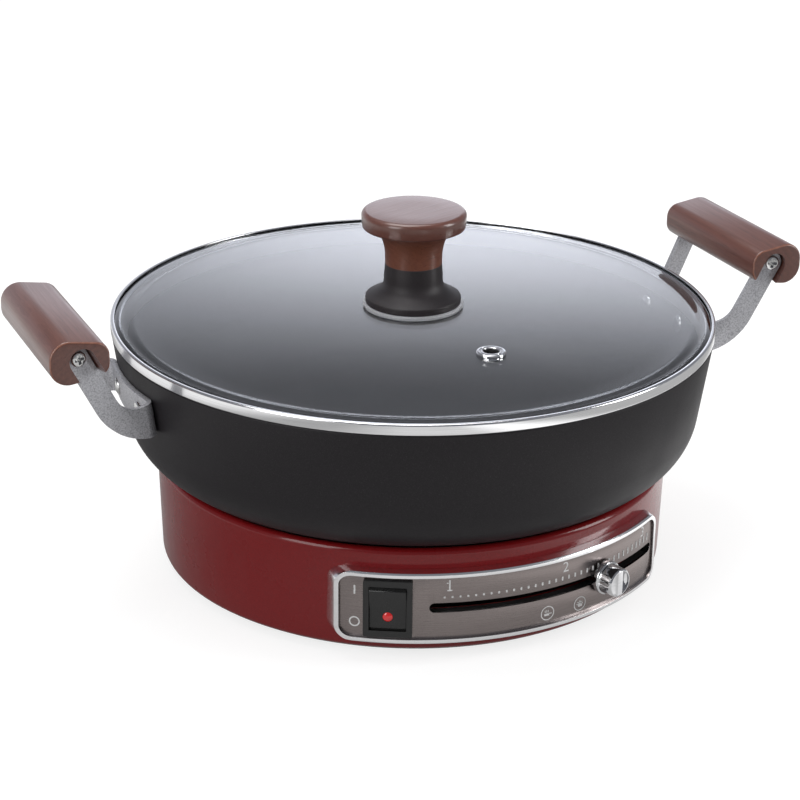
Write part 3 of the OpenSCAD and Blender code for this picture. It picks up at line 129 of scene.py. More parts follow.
def drawn(name, points, y=0.0):
    """A chain of points of x and height in mm, extruded from one point and left in edit mode."""
    rest_tools()
    bpy.ops.mesh.primitive_plane_add(size=MM, location=(0, 0, 0))
    obj = bpy.context.object
    obj.name = obj.data.name = name
    bpy.ops.object.mode_set(mode="EDIT")
    bpy.ops.mesh.select_all(action="SELECT")
    bpy.ops.mesh.merge(type="CENTER")
    x, z = points[0]
    bpy.ops.transform.translate(value=(x * MM, y * MM, z * MM))
    for (x0, z0), (x1, z1) in zip(points, points[1:]):
        step = ((x1 - x0) * MM, 0, (z1 - z0) * MM)
        bpy.ops.mesh.extrude_region_move(TRANSFORM_OT_translate={"value": step})
    return obj


def close_mesh():
    """Merges doubles, turns the faces outwards and leaves edit mode."""
    bpy.ops.mesh.select_all(action="SELECT")
    bpy.ops.mesh.remove_doubles(threshold=MERGE_GAP)
    bpy.ops.mesh.normals_make_consistent(inside=False)
    bpy.ops.object.mode_set(mode="OBJECT")


def turned(name, profile, steps=160, closed=True, smooth=TURNED_SMOOTH):
    """A profile of (radius, height) in mm, spun about the upright axis."""
    obj = drawn(name, profile + (profile[:1] if closed else []))
    bpy.ops.mesh.select_all(action="SELECT")
    bpy.ops.mesh.spin(steps=steps, angle=2 * math.pi, center=(0, 0, 0), axis=(0, 0, 1))
    close_mesh()
    return smoothed(obj, smooth)


def prism(name, outline, y0, y1):
    """A closed outline of (x, height) in mm, filled and pulled along Y."""
    obj = drawn(name, outline + outline[:1], y0)
    bpy.ops.mesh.select_all(action="SELECT")
    bpy.ops.mesh.remove_doubles(threshold=MERGE_GAP)
    bpy.ops.mesh.edge_face_add()
    bpy.ops.mesh.extrude_region_move(TRANSFORM_OT_translate={"value": (0, (y1 - y0) * MM, 0)})
    bpy.ops.mesh.select_all(action="SELECT")
    bpy.ops.mesh.normals_make_consistent(inside=False)
    bpy.ops.object.mode_set(mode="OBJECT")
    return obj


def settle(obj):
    """Puts the object's place into its mesh."""
    pick(obj)
    bpy.ops.object.transform_apply(location=True, rotation=True, scale=True)
    return obj


def placed(obj, matrix):
    """Moves a piece that was modelled at the origin to its place."""
    obj.matrix_world = matrix
    return settle(obj)


def softened(node, name, width, segments=3, smooth=SOLID_SMOOTH):
    """A copy of a CAD solid with merged faces and rounded edges, width in mm."""
    pick(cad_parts[node])
    bpy.ops.object.duplicate()
    obj = bpy.context.object
    obj.parent = None
    for key in list(obj.keys()):
        del obj[key]
    obj.name = obj.data.name = name
    obj.data.materials.clear()
    bpy.ops.mesh.customdata_custom_splitnormals_clear()
    bpy.ops.object.mode_set(mode="EDIT")
    bpy.ops.mesh.select_all(action="SELECT")
    bpy.ops.mesh.remove_doubles(threshold=MERGE_GAP)
    bpy.ops.mesh.dissolve_limited(angle_limit=FLAT_WITHIN)
    bpy.ops.object.mode_set(mode="OBJECT")
    if width:
        bevel = obj.modifiers.new("edges", "BEVEL")
        bevel.width = width * MM
        bevel.segments = segments
        bevel.limit_method = "ANGLE"
        bevel.angle_limit = BEVEL_FROM
        bevel.use_clamp_overlap = True
        bpy.ops.object.modifier_apply(modifier=bevel.name)
    return smoothed(obj, smooth)


def cut_away(obj, tool):
    """Cuts the tool's shape out of obj and removes the tool."""
    pick(obj)
    cut = obj.modifiers.new("cut", "BOOLEAN")
    cut.operation = "DIFFERENCE"
    cut.solver = "EXACT"
    cut.object = tool
    bpy.ops.object.modifier_apply(modifier=cut.name)
    pick(tool)
    bpy.ops.object.delete()


def joined(pieces, name):
    """Several meshes as one piece."""
    rest_tools()
    for piece in pieces:
        piece.select_set(True)
    bpy.context.view_layer.objects.active = pieces[0]
    bpy.ops.object.join()
    obj = bpy.context.object
    obj.name = obj.data.name = name
    return obj


def spot(a, r, z):
    """A place at angle a from the front, distance r and height z, from mm and degrees."""
    return Vector((r * math.sin(math.radians(a)), -r * math.cos(math.radians(a)), z)) * MM


def cross_screw(head_d, head_h, shank_d, shank_l):
    """A round-headed screw with a cross recess, head up, its seat at the origin."""
    head_r, shank_r = head_d / 2, shank_d / 2
    round_r, flat_r = head_h * 0.62, head_r * 0.3
    tip, tip_l = 0.6, 1.2
    recess_l, recess_w, recess_h = head_d * 0.64, head_d * 0.20, head_h * 2.2
    shank = [(0, -shank_l), (shank_r - tip, -shank_l), (shank_r, tip_l - shank_l), (shank_r, 0)]
    profile = (shank + [(head_r, 0)]
               + arc(head_r - round_r, head_h - round_r, round_r, 0, 70, 7)
               + [(flat_r, head_h), (0, head_h)])
    screw = turned("cross_screw", profile, steps=48, closed=False)
    for turn in (0, math.pi / 2):
        rest_tools()
        bpy.ops.mesh.primitive_cube_add(size=1, location=(0, 0, head_h * MM), rotation=(0, 0, turn))
        blade = bpy.context.object
        blade.scale = (recess_l * MM, recess_w * MM, recess_h * MM)
        cut_away(screw, settle(blade))
    return smoothed(screw, TURNED_SMOOTH)


def fit(obj, body, material, *nodes, slot=None):
    """Gives a piece its material and its body, and hides the CAD nodes that it stands for."""
    obj.data.materials.clear()
    obj.data.materials.append(material)
    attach(obj, body)
    if nodes:
        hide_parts(*nodes)
    return obj


def dress(node, body, material, width, slot=None, **how):
    """A softened copy of a CAD solid, fitted in its place."""
    return fit(softened(node, node + "_piece", width, **how), body, material, node, slot=slot)


def finish_faces(obj, material, chosen):
    """Gives a piece a further material, on the faces that the rule chooses."""
    obj.data.materials.append(material)
    index = len(obj.data.materials) - 1
    for face in obj.data.polygons:
        if chosen(face):
            face.material_index = index


# Shared surface effects

def add(tree, kind, **inputs):
    """A node with its named inputs set."""
    made = tree.nodes.new(kind)
    for key, value in inputs.items():
        if hasattr(made, key):
            setattr(made, key, value)
        else:
            made.inputs[key.replace("_", " ")].default_value = value
    return made


def math_node(tree, operation, a, b=None, clamp=False):
    """A math node fed by sockets or numbers."""
    made = tree.nodes.new("ShaderNodeMath")
    made.operation = operation
    made.use_clamp = clamp
    for i, value in enumerate((a, b)):
        if value is None:
            continue
        if isinstance(value, (int, float)):
            made.inputs[i].default_value = value
        else:
            tree.links.new(value, made.inputs[i])
    return made.outputs[0]


def group(name, outputs, **values):
    """An empty shader node group with a vector, value inputs and value outputs."""
    tree = bpy.data.node_groups.new(name, "ShaderNodeTree")
    tree.interface.new_socket("Vector", in_out="INPUT", socket_type="NodeSocketVector")
    for label, value in values.items():
        socket = tree.interface.new_socket(label, in_out="INPUT", socket_type="NodeSocketFloat")
        socket.default_value = value
    for label in outputs:
        tree.interface.new_socket(label, in_out="OUTPUT", socket_type="NodeSocketFloat")
    return tree, tree.nodes.new("NodeGroupInput").outputs, tree.nodes.new("NodeGroupOutput").inputs


def drifted(tree, vector, scale, amount):
    """The vector, pushed about by soft noise."""
    noise = add(tree, "ShaderNodeTexNoise", Scale=scale, Detail=2.0)
    tree.links.new(vector, noise.inputs["Vector"])
    push = add(tree, "ShaderNodeVectorMath", operation="MULTIPLY_ADD")
    push.inputs[1].default_value = (amount, amount, amount)
    tree.links.new(noise.outputs["Color"], push.inputs[0])
    tree.links.new(vector, push.inputs[2])
    return push.outputs[0]


def make_smudge():
    """Soft clouds and fine specks, for gloss that isn't even."""
    tree, given, result = group("smudge", ["Clouds", "Specks"], Cloud=18.0, Speck=900.0)
    cloud = add(tree, "ShaderNodeTexNoise", Detail=5.0, Roughness=0.6)
    speck = add(tree, "ShaderNodeTexNoise", Detail=2.0, Roughness=0.5)
    for noise, size, mask in ((cloud, "Cloud", "Clouds"), (speck, "Speck", "Specks")):
        tree.links.new(given["Vector"], noise.inputs["Vector"])
        tree.links.new(given[size], noise.inputs["Scale"])
        tree.links.new(noise.outputs["Fac"], result[mask])
    return tree


def make_turned_lines():
    """Fine lines that run round the upright axis, as brushing or turning leaves them."""
    tree, given, result = group("turned_lines", ["Lines"], Density=2200.0, Streak=6.0)
    split = tree.nodes.new("ShaderNodeSeparateXYZ")
    tree.links.new(given["Vector"], split.inputs[0])
    x, y, z = split.outputs
    radius = math_node(tree, "SQRT", math_node(tree, "ADD", math_node(tree, "MULTIPLY", x, x),
                                               math_node(tree, "MULTIPLY", y, y)))
    turn = math_node(tree, "ARCTAN2", y, x)
    join = tree.nodes.new("ShaderNodeCombineXYZ")
    for i, (value, spread) in enumerate(((radius, "Density"), (z, "Density"), (turn, "Streak"))):
        tree.links.new(math_node(tree, "MULTIPLY", value, given[spread]), join.inputs[i])
    noise = add(tree, "ShaderNodeTexNoise", Scale=1.0, Detail=3.0, Roughness=0.65)
    tree.links.new(join.outputs[0], noise.inputs["Vector"])
    tree.links.new(noise.outputs["Fac"], result["Lines"])
    return tree


def make_wood_grain():
    """Growth rings, fibres and pores, with the grain along Y."""
    ring_share, fibre_share = 0.14, 0.86
    tree, given, result = group("wood_grain", ["Tone", "Pores"], Rings=95.0)
    vector = drifted(tree, given["Vector"], 9.0, 0.006)
    rings = add(tree, "ShaderNodeTexWave", wave_type="RINGS", rings_direction="Y", wave_profile="SAW",
                Distortion=1.6, Detail=2.0, Detail_Scale=1.2)
    tree.links.new(vector, rings.inputs["Vector"])
    tree.links.new(given["Rings"], rings.inputs["Scale"])
    squeeze = add(tree, "ShaderNodeMapping", Scale=(1.0, 0.035, 1.0))
    tree.links.new(vector, squeeze.inputs["Vector"])
    fibre = add(tree, "ShaderNodeTexNoise", Scale=900.0, Detail=4.0, Roughness=0.7)
    pores = add(tree, "ShaderNodeTexNoise", Scale=1700.0, Detail=1.0, Roughness=0.4)
    for noise in (fibre, pores):
        tree.links.new(squeeze.outputs[0], noise.inputs["Vector"])
    tone = math_node(tree, "ADD", math_node(tree, "MULTIPLY", rings.outputs["Fac"], ring_share),
                     math_node(tree, "MULTIPLY", fibre.outputs["Fac"], fibre_share))
    tree.links.new(tone, result["Tone"])
    pit = add(tree, "ShaderNodeMapRange", From_Min=0.66, From_Max=0.76)
    tree.links.new(pores.outputs["Fac"], pit.inputs["Value"])
    tree.links.new(pit.outputs[0], result["Pores"])
    return tree


def make_dimples():
    """Rounded cells of hammered paint."""
    tree, given, result = group("dimples", ["Cells", "Height"], Scale=520.0)
    cell = add(tree, "ShaderNodeTexVoronoi", feature="SMOOTH_F1")
    tree.links.new(drifted(tree, given["Vector"], 300.0, 0.0016), cell.inputs["Vector"])
    tree.links.new(given["Scale"], cell.inputs["Scale"])
    tree.links.new(cell.outputs["Distance"], result["Height"])
    edge = add(tree, "ShaderNodeMapRange", From_Min=0.25, From_Max=0.75)
    tree.links.new(cell.outputs["Distance"], edge.inputs["Value"])
    tree.links.new(edge.outputs[0], result["Cells"])
    return tree


SMUDGE = make_smudge()
TURNED_LINES = make_turned_lines()
WOOD_GRAIN = make_wood_grain()
DIMPLES = make_dimples()


# Materials

class Finish:
    """A material with its shader, its object coordinates and short ways to link effects to it."""

    def __init__(self, name, **sockets):
        self.material = bpy.data.materials.new(name)
        self.material.use_nodes = True
        self.tree = self.material.node_tree
        self.shader = self.tree.nodes["Principled BSDF"]
        for key, value in sockets.items():
            self.shader.inputs[key.replace("_", " ")].default_value = value
        self.place = self.tree.nodes.new("ShaderNodeTexCoord").outputs["Object"]

    def effect(self, tree, vector=None, **values):
        """The outputs of a shared effect with its own values."""
        made = self.tree.nodes.new("ShaderNodeGroup")
        made.node_tree = tree
        self.tree.links.new(vector or self.place, made.inputs["Vector"])
        for key, value in values.items():
            made.inputs[key].default_value = value
        return made.outputs

    def mapped(self, location, rotation):
        """The object's coordinates, shifted and turned."""
        made = add(self.tree, "ShaderNodeMapping", Location=location, Rotation=rotation)
        self.tree.links.new(self.place, made.inputs["Vector"])
        return made.outputs[0]

    def ranged(self, value, low, high, start=0.3, end=0.7):
        """A value that goes from low to high as another goes from start to end."""
        made = add(self.tree, "ShaderNodeMapRange", From_Min=start, From_Max=end, To_Min=low, To_Max=high)
        self.tree.links.new(value, made.inputs["Value"])
        return made.outputs[0]

    def colours(self, value, *stops):
        """A colour that follows a value through stops of place and colour."""
        made = self.tree.nodes.new("ShaderNodeValToRGB")
        ramp = made.color_ramp
        while len(ramp.elements) < len(stops):
            ramp.elements.new(0.5)
        for element, (place, colour) in zip(ramp.elements, stops):
            element.position = place
            element.color = colour
        self.tree.links.new(value, made.inputs["Fac"])
        return made.outputs["Color"]

    def feed(self, socket, value):
        """Links a value to the shader."""
        self.tree.links.new(value, self.shader.inputs[socket])

    def bump(self, height, distance, strength):
        """Links a height to the shader's normal, distance in metres."""
        made = add(self.tree, "ShaderNodeBump", Strength=strength, Distance=distance)
        self.tree.links.new(height, made.inputs["Height"])
        self.feed("Normal", made.outputs["Normal"])


def clear_glass(name, coat):
    finish = Finish(name, Transmission_Weight=1.0, IOR=1.5, Coat_Weight=coat, Coat_Roughness=0.02,
                    Coat_IOR=1.6)
    marks = finish.effect(SMUDGE, Cloud=14.0, Speck=500.0)
    finish.feed("Roughness", finish.ranged(marks["Clouds"], 0.0, 0.035))
    finish.feed("Base Color", finish.colours(marks["Clouds"], (0.3, (0.93, 0.95, 0.97, 1)),
                                             (0.7, (0.97, 0.98, 0.99, 1))))
    return finish.material


def clear_silicone():
    finish = Finish("clear_silicone", Transmission_Weight=0.7, IOR=1.42)
    marks = finish.effect(SMUDGE, Cloud=80.0, Speck=1500.0)
    finish.feed("Roughness", finish.ranged(marks["Clouds"], 0.22, 0.38))
    finish.feed("Base Color", finish.colours(marks["Specks"], (0.3, (0.68, 0.68, 0.70, 1)),
                                             (0.7, (0.82, 0.82, 0.83, 1))))
    return finish.material


def metal(name, dark, light, rough0, rough1, density=2200.0, streak=6.0, bump=0.00001):
    finish = Finish(name, Metallic=1.0)
    lines = finish.effect(TURNED_LINES, Density=density, Streak=streak)["Lines"]
    marks = finish.effect(SMUDGE, Cloud=40.0, Speck=900.0)
    finish.feed("Base Color", finish.colours(lines, (0.35, dark), (0.65, light)))
    finish.feed("Roughness", math_node(finish.tree, "ADD", finish.ranged(lines, rough0, rough1),
                                       finish.ranged(marks["Clouds"], -0.02, 0.03)))
    finish.bump(lines, bump, 0.6)
    return finish.material


def red_enamel():
    finish = Finish("red_enamel", Coat_Weight=0.6, Coat_Roughness=0.10, Coat_IOR=1.5, Specular_IOR_Level=0.1)
    marks = finish.effect(SMUDGE, Cloud=26.0, Speck=1400.0)
    finish.feed("Base Color", finish.colours(marks["Specks"], (0.3, (0.165, 0.0054, 0.0068, 1)),
                                             (0.7, (0.210, 0.0074, 0.0090, 1))))
    finish.feed("Roughness", finish.ranged(marks["Clouds"], 0.22, 0.34))
    peel = finish.effect(SMUDGE, Cloud=420.0, Speck=1400.0)
    finish.bump(peel["Clouds"], 0.00002, 0.25)
    return finish.material


def dark_coating():
    finish = Finish("dark_nonstick_coating", Specular_IOR_Level=0.24)
    marks = finish.effect(SMUDGE, Cloud=22.0, Speck=2600.0)
    finish.feed("Base Color", finish.colours(marks["Specks"], (0.35, (0.0122, 0.0105, 0.0122, 1)),
                                             (0.58, (0.0170, 0.0150, 0.0170, 1)),
                                             (0.72, (0.0310, 0.0284, 0.0312, 1))))
    finish.feed("Roughness", finish.ranged(marks["Clouds"], 0.44, 0.54))
    finish.bump(marks["Specks"], 0.00005, 0.45)
    return finish.material


def wood(name, dark, middle, light, turn=0.0, shift=(0.03, 0.0, 0.05), varnish=1.0, satin=0.3):
    """Varnished wood with its grain along Y, turned about the upright axis by degrees."""
    finish = Finish(name, Coat_Weight=varnish, Coat_Roughness=satin)
    vector = finish.mapped(shift, (0, 0, math.radians(turn)))
    grain = finish.effect(WOOD_GRAIN, vector=vector)
    pits = add(finish.tree, "ShaderNodeMix", data_type="RGBA", blend_type="MULTIPLY")
    pits.inputs["B"].default_value = (0.42, 0.36, 0.33, 1)
    tone = finish.colours(grain["Tone"], (0.25, dark), (0.5, middle), (0.78, light))
    finish.tree.links.new(tone, pits.inputs["A"])
    finish.tree.links.new(grain["Pores"], pits.inputs["Factor"])
    finish.feed("Base Color", pits.outputs["Result"])
    finish.feed("Roughness", finish.ranged(grain["Tone"], 0.52, 0.38))
    finish.bump(math_node(finish.tree, "SUBTRACT", grain["Tone"], grain["Pores"]), 0.00006, 0.14)
    return finish.material


def hammered_paint():
    finish = Finish("hammered_silver_paint", Metallic=0.6)
    cells = finish.effect(DIMPLES, Scale=1500.0)
    marks = finish.effect(SMUDGE, Cloud=60.0, Speck=1800.0)
    finish.feed("Base Color", finish.colours(cells["Cells"], (0.1, (0.60, 0.60, 0.63, 1)),
                                             (0.9, (0.36, 0.36, 0.385, 1))))
    finish.feed("Roughness", finish.ranged(marks["Specks"], 0.36, 0.52))
    finish.bump(cells["Height"], 0.00008, 0.5)
    return finish.material


def moulded(name, dark, light, rough0, rough1, bump=0.00004):
    finish = Finish(name)
    marks = finish.effect(SMUDGE, Cloud=45.0, Speck=1500.0)
    finish.feed("Base Color", finish.colours(marks["Specks"], (0.3, dark), (0.7, light)))
    finish.feed("Roughness", finish.ranged(marks["Clouds"], rough0, rough1))
    finish.bump(marks["Specks"], bump, 0.4)
    return finish.material


def lamp_red():
    finish = Finish("red_lamp_lens", Coat_Weight=1.0, Coat_Roughness=0.02, Emission_Strength=0.25)
    marks = finish.effect(SMUDGE, Cloud=200.0, Speck=900.0)
    finish.feed("Base Color", finish.colours(marks["Clouds"], (0.3, (0.42, 0.006, 0.008, 1)),
                                             (0.7, (0.62, 0.012, 0.012, 1))))
    finish.feed("Emission Color", finish.colours(marks["Clouds"], (0.3, (0.6, 0.01, 0.01, 1)),
                                                 (0.7, (0.9, 0.02, 0.02, 1))))
    finish.feed("Roughness", finish.ranged(marks["Specks"], 0.12, 0.2))
    return finish.material


def grey(value, blue=None):
    """A grey, or one with its own share of blue."""
    return (value, value, value if blue is None else blue, 1.0)


GLASS = clear_glass("clear_lid_glass", 0.0)
COATED_GLASS = clear_glass("coated_lid_glass", 0.8)
SILICONE = clear_silicone()
POLISHED = metal("polished_steel", grey(0.80, 0.81), grey(0.90, 0.91), 0.10, 0.17, density=2600.0, streak=4.0)
CHROME = metal("bright_chrome", grey(0.66, 0.67), grey(0.72, 0.73), 0.05, 0.09, density=900.0, streak=3.0,
               bump=0.000004)
SATIN = metal("satin_steel", grey(0.70, 0.71), grey(0.82, 0.83), 0.42, 0.52, streak=8.0)
BEAD = metal("bright_bead", grey(0.86, 0.87), grey(0.92, 0.93), 0.14, 0.22, density=900.0, streak=3.0,
             bump=0.000004)
STEEL = metal("bright_steel", grey(0.52, 0.53), grey(0.66, 0.67), 0.22, 0.34, density=1800.0, streak=14.0)
ZINC = metal("zinc_plate", grey(0.50, 0.50), grey(0.62, 0.61), 0.30, 0.44, density=500.0, streak=3.0)
CAST = metal("turned_aluminium", grey(0.48, 0.49), grey(0.62, 0.63), 0.30, 0.42, density=900.0, streak=2.0,
             bump=0.00003)
PANEL = metal("brushed_warm_grey", (0.240, 0.206, 0.199, 1), (0.278, 0.242, 0.233, 1), 0.24, 0.32,
              density=3400.0, streak=9.0, bump=0.000006)
NICKEL = metal("bright_nickel", grey(0.60, 0.60), grey(0.70, 0.69), 0.14, 0.22, density=300.0, streak=2.0,
               bump=0.000002)
BRASS = metal("brass", (0.50, 0.34, 0.12, 1), (0.66, 0.48, 0.20, 1), 0.26, 0.36, density=1200.0, streak=8.0)
ENAMEL = red_enamel()
COATING = dark_coating()
HAMMERED = hammered_paint()
BLACK = moulded("satin_black", grey(0.010), grey(0.018), 0.30, 0.42)
GLOSS_BLACK = moulded("gloss_black", grey(0.010), grey(0.016), 0.14, 0.22, bump=0.00001)
BAKELITE = moulded("dark_bakelite", (0.017, 0.0130, 0.0145, 1), (0.025, 0.0195, 0.0215, 1), 0.46, 0.58)
BLACK_STEEL = moulded("black_painted_steel", grey(0.016), grey(0.030), 0.42, 0.58)
RUBBER = moulded("black_rubber", grey(0.010), grey(0.020), 0.65, 0.80, bump=0.00008)
CERAMIC = moulded("unglazed_ceramic", (0.62, 0.59, 0.51, 1), (0.74, 0.71, 0.64, 1), 0.55, 0.7)
PRINT = moulded("white_print", grey(0.70), grey(0.80), 0.45, 0.6)
LAMP = lamp_red()
WOOD_MIDDLE = (0.118, 0.0345, 0.0210, 1)
GRIP_WOOD = wood("grip_wood", (0.092, 0.0262, 0.0158, 1), WOOD_MIDDLE, (0.148, 0.0460, 0.0285, 1),
                 varnish=0.8)
END_WOOD = wood("grip_end_grain", (0.066, 0.0185, 0.0110, 1), (0.104, 0.0300, 0.0180, 1),
                (0.150, 0.0470, 0.0290, 1))
# Painted highlight: a lighter wood for the rounded edges round the grip ends, standing in for the light that
# those edges catch
EDGE_HIGHLIGHT_WOOD = wood("grip_edge_painted_highlight", (0.150, 0.0440, 0.0220, 1), (0.210, 0.0700, 0.0360, 1),
                 (0.270, 0.0980, 0.0520, 1))
KNOB_GRAIN = {"turn": 68, "shift": (0.02, 0.01, -0.14)}
KNOB_WOOD = wood("knob_wood", (0.106, 0.0304, 0.0185, 1), WOOD_MIDDLE, (0.130, 0.0392, 0.0240, 1), satin=0.14,
                 **KNOB_GRAIN)
NECK_WOOD = wood("knob_neck_wood", (0.126, 0.0370, 0.0185, 1), (0.158, 0.0480, 0.0250, 1),
                 (0.192, 0.0620, 0.0330, 1), varnish=0.15, **KNOB_GRAIN)
WIRES = {name: moulded("sleeve_" + name, dark, light, 0.55, 0.7) for name, dark, light in (
    ("brown", (0.11, 0.045, 0.02, 1), (0.16, 0.07, 0.03, 1)),
    ("red", (0.30, 0.02, 0.02, 1), (0.40, 0.04, 0.03, 1)),
    ("blue", (0.02, 0.07, 0.24, 1), (0.03, 0.10, 0.32, 1)),
    ("green", (0.16, 0.30, 0.03, 1), (0.34, 0.42, 0.04, 1)))}


# Camera and studio, in metres

VIEW_AHEAD = (0.403, 0.915)
VIEW_RIGHT = (0.915, -0.403)


def set_camera():
    """The photograph's camera, solved from the ellipses of the lid and the base."""
    place = Vector((-0.45805, -1.0288, 0.54347))
    ahead = Vector((0.37173, 0.84777, -0.37827)).normalized()
    roll = math.radians(0.618)
    sensor, focal_pixels, frame_pixels = 36.0, 2248.52, 800
    data = bpy.data.cameras.new("photo_view")
    camera = bpy.data.objects.new("photo_view", data)
    scene.collection.objects.link(camera)
    level = ahead.cross(Vector((0, 0, 1))).normalized()
    upright = level.cross(ahead)
    right = level * math.cos(roll) + upright * math.sin(roll)
    up = upright * math.cos(roll) - level * math.sin(roll)
    camera.matrix_world = Matrix.Translation(place) @ Matrix((right, up, -ahead)).transposed().to_4x4()
    data.sensor_width = sensor
    data.lens = sensor * focal_pixels / frame_pixels
    data.clip_end = 50
    scene.camera = camera


def along(tree, split, way):
    """How far a separated vector reaches along a level way."""
    return math_node(tree, "ADD", math_node(tree, "MULTIPLY", split.outputs[0], way[0]),
                     math_node(tree, "MULTIPLY", split.outputs[1], way[1]))


def studio_gloss(tree):
    """What gloss sees: a bright backdrop, low down behind the part, in a dim room."""
    dim_room = 0.21
    split = tree.nodes.new("ShaderNodeSeparateXYZ")
    tree.links.new(tree.nodes.new("ShaderNodeTexCoord").outputs["Generated"], split.inputs[0])
    behind = along(tree, split, VIEW_AHEAD)
    right = along(tree, split, VIEW_RIGHT)

    def soft_step(value, start, end, low, high):
        made = add(tree, "ShaderNodeMapRange", interpolation_type="SMOOTHSTEP", From_Min=start, From_Max=end,
                   To_Min=low, To_Max=high)
        tree.links.new(value, made.inputs["Value"])
        return made.outputs[0]

    backdrop = soft_step(split.outputs[2], 0.25, 0.43, 1.4, 0.01)
    for edge in (soft_step(behind, 0.1, 0.7, 0.0, 1.0), soft_step(right, -0.22, 0.02, 0.32, 1.0),
                 soft_step(right, 0.02, 0.48, 1.0, 0.08)):
        backdrop = math_node(tree, "MULTIPLY", backdrop, edge)
    return math_node(tree, "ADD", backdrop, dim_room)


def set_world():
    """A surround that is white to the eye, also through glass, a soft fill, and a room for gloss."""
    fill, white = 0.45, 1.0
    neutral, cool = (1.0, 1.0, 1.0, 1.0), (0.93, 0.96, 1.06, 1.0)
    world = bpy.data.worlds.new("studio")
    scene.world = world
    world.use_nodes = True
    tree = world.node_tree
    background = tree.nodes["Background"]
    rays = tree.nodes.new("ShaderNodeLightPath").outputs
    # A ray that the lower face of the glass mirrors sees the room, as one from the upper face does
    mirrored = math_node(tree, "MINIMUM", rays["Glossy Depth"], 1.0)
    seen = math_node(tree, "MAXIMUM", rays["Is Camera Ray"], rays["Is Transmission Ray"])
    seen = math_node(tree, "SUBTRACT", seen, mirrored, clamp=True)
    glossy = math_node(tree, "MAXIMUM", rays["Is Glossy Ray"],
                       math_node(tree, "MULTIPLY", rays["Is Transmission Ray"], mirrored))
    gloss = add(tree, "ShaderNodeMix", data_type="FLOAT", A=fill)
    tree.links.new(glossy, gloss.inputs["Factor"])
    tree.links.new(studio_gloss(tree), gloss.inputs["B"])
    final = add(tree, "ShaderNodeMix", data_type="FLOAT", B=white)
    tree.links.new(seen, final.inputs["Factor"])
    tree.links.new(gloss.outputs[0], final.inputs["A"])
    tree.links.new(final.outputs[0], background.inputs["Strength"])
    tint = add(tree, "ShaderNodeMix", data_type="RGBA")
    tint.inputs["A"].default_value = neutral
    tint.inputs["B"].default_value = cool
    tree.links.new(glossy, tint.inputs["Factor"])
    tree.links.new(tint.outputs["Result"], background.inputs["Color"])


def set_floor():
    """A floor that is white to the eye. In gloss it is paler to the right and far to the left."""
    width, drop, eye_light = 14, 0.0004, 0.78
    rest_tools()
    bpy.ops.mesh.primitive_plane_add(size=width, location=(0, 0, -drop))
    floor = bpy.context.object
    floor.name = "floor"
    finish = Finish("pale_floor", Roughness=0.9, Specular_IOR_Level=0.0, Base_Color=grey(0.32),
                    Emission_Color=grey(1.0))
    tree = finish.tree
    rays = tree.nodes.new("ShaderNodeLightPath").outputs
    seen = math_node(tree, "MAXIMUM", rays["Is Camera Ray"], rays["Is Transmission Ray"])
    split = tree.nodes.new("ShaderNodeSeparateXYZ")
    tree.links.new(finish.place, split.inputs[0])
    across = along(tree, split, VIEW_RIGHT)
    left = math_node(tree, "ADD", finish.ranged(across, 0.03, 0.34, -0.18, -0.02),
                     finish.ranged(across, 0.55, 0.0, -0.42, -0.28))
    right = math_node(tree, "SUBTRACT", finish.ranged(across, 0.0, 0.62, 0.13, 0.21),
                      finish.ranged(across, 0.0, 0.86, 0.24, 0.34))
    cards = math_node(tree, "MULTIPLY", rays["Is Glossy Ray"], math_node(tree, "ADD", left, right))
    white = math_node(tree, "MULTIPLY", seen, eye_light)
    finish.feed("Emission Strength", math_node(tree, "ADD", white, cards))
    floor.data.materials.append(finish.material)
    settle(floor)


def set_lamp(name, place, target, size, power):
    """A soft box that looks at its target."""
    data = bpy.data.lights.new(name, "AREA")
    data.shape = "RECTANGLE"
    data.size, data.size_y = size
    data.energy = power
    lamp = bpy.data.objects.new(name, data)
    scene.collection.objects.link(lamp)
    lamp.location = place
    lamp.rotation_euler = (Vector(target) - Vector(place)).to_track_quat("-Z", "Y").to_euler()


set_camera()
set_world()
set_floor()
set_lamp("overhead", place=(-0.2, 0.35, 1.9), target=(0, 0, 0.1), size=(1.6, 1.1), power=22)
set_lamp("left_box", place=(-1.7, -0.7, 0.9), target=(0, 0, 0.08), size=(0.8, 1.4), power=14)
set_lamp("right_box", place=(1.6, -0.9, 0.8), target=(0, 0, 0.08), size=(0.6, 1.3), power=15)


# Lid

def glass_lift(r):
    """Height of the glass above its flat edge."""
    if r >= SHOULDER_R:
        return 0.0
    if r >= DOME_R:
        return SHOULDER_RISE * (1 - math.cos(math.pi * (SHOULDER_R - r) / (SHOULDER_R - DOME_R))) / 2
    return GLASS_RISE - (GLASS_RISE - SHOULDER_RISE) * (r / DOME_R) ** 2


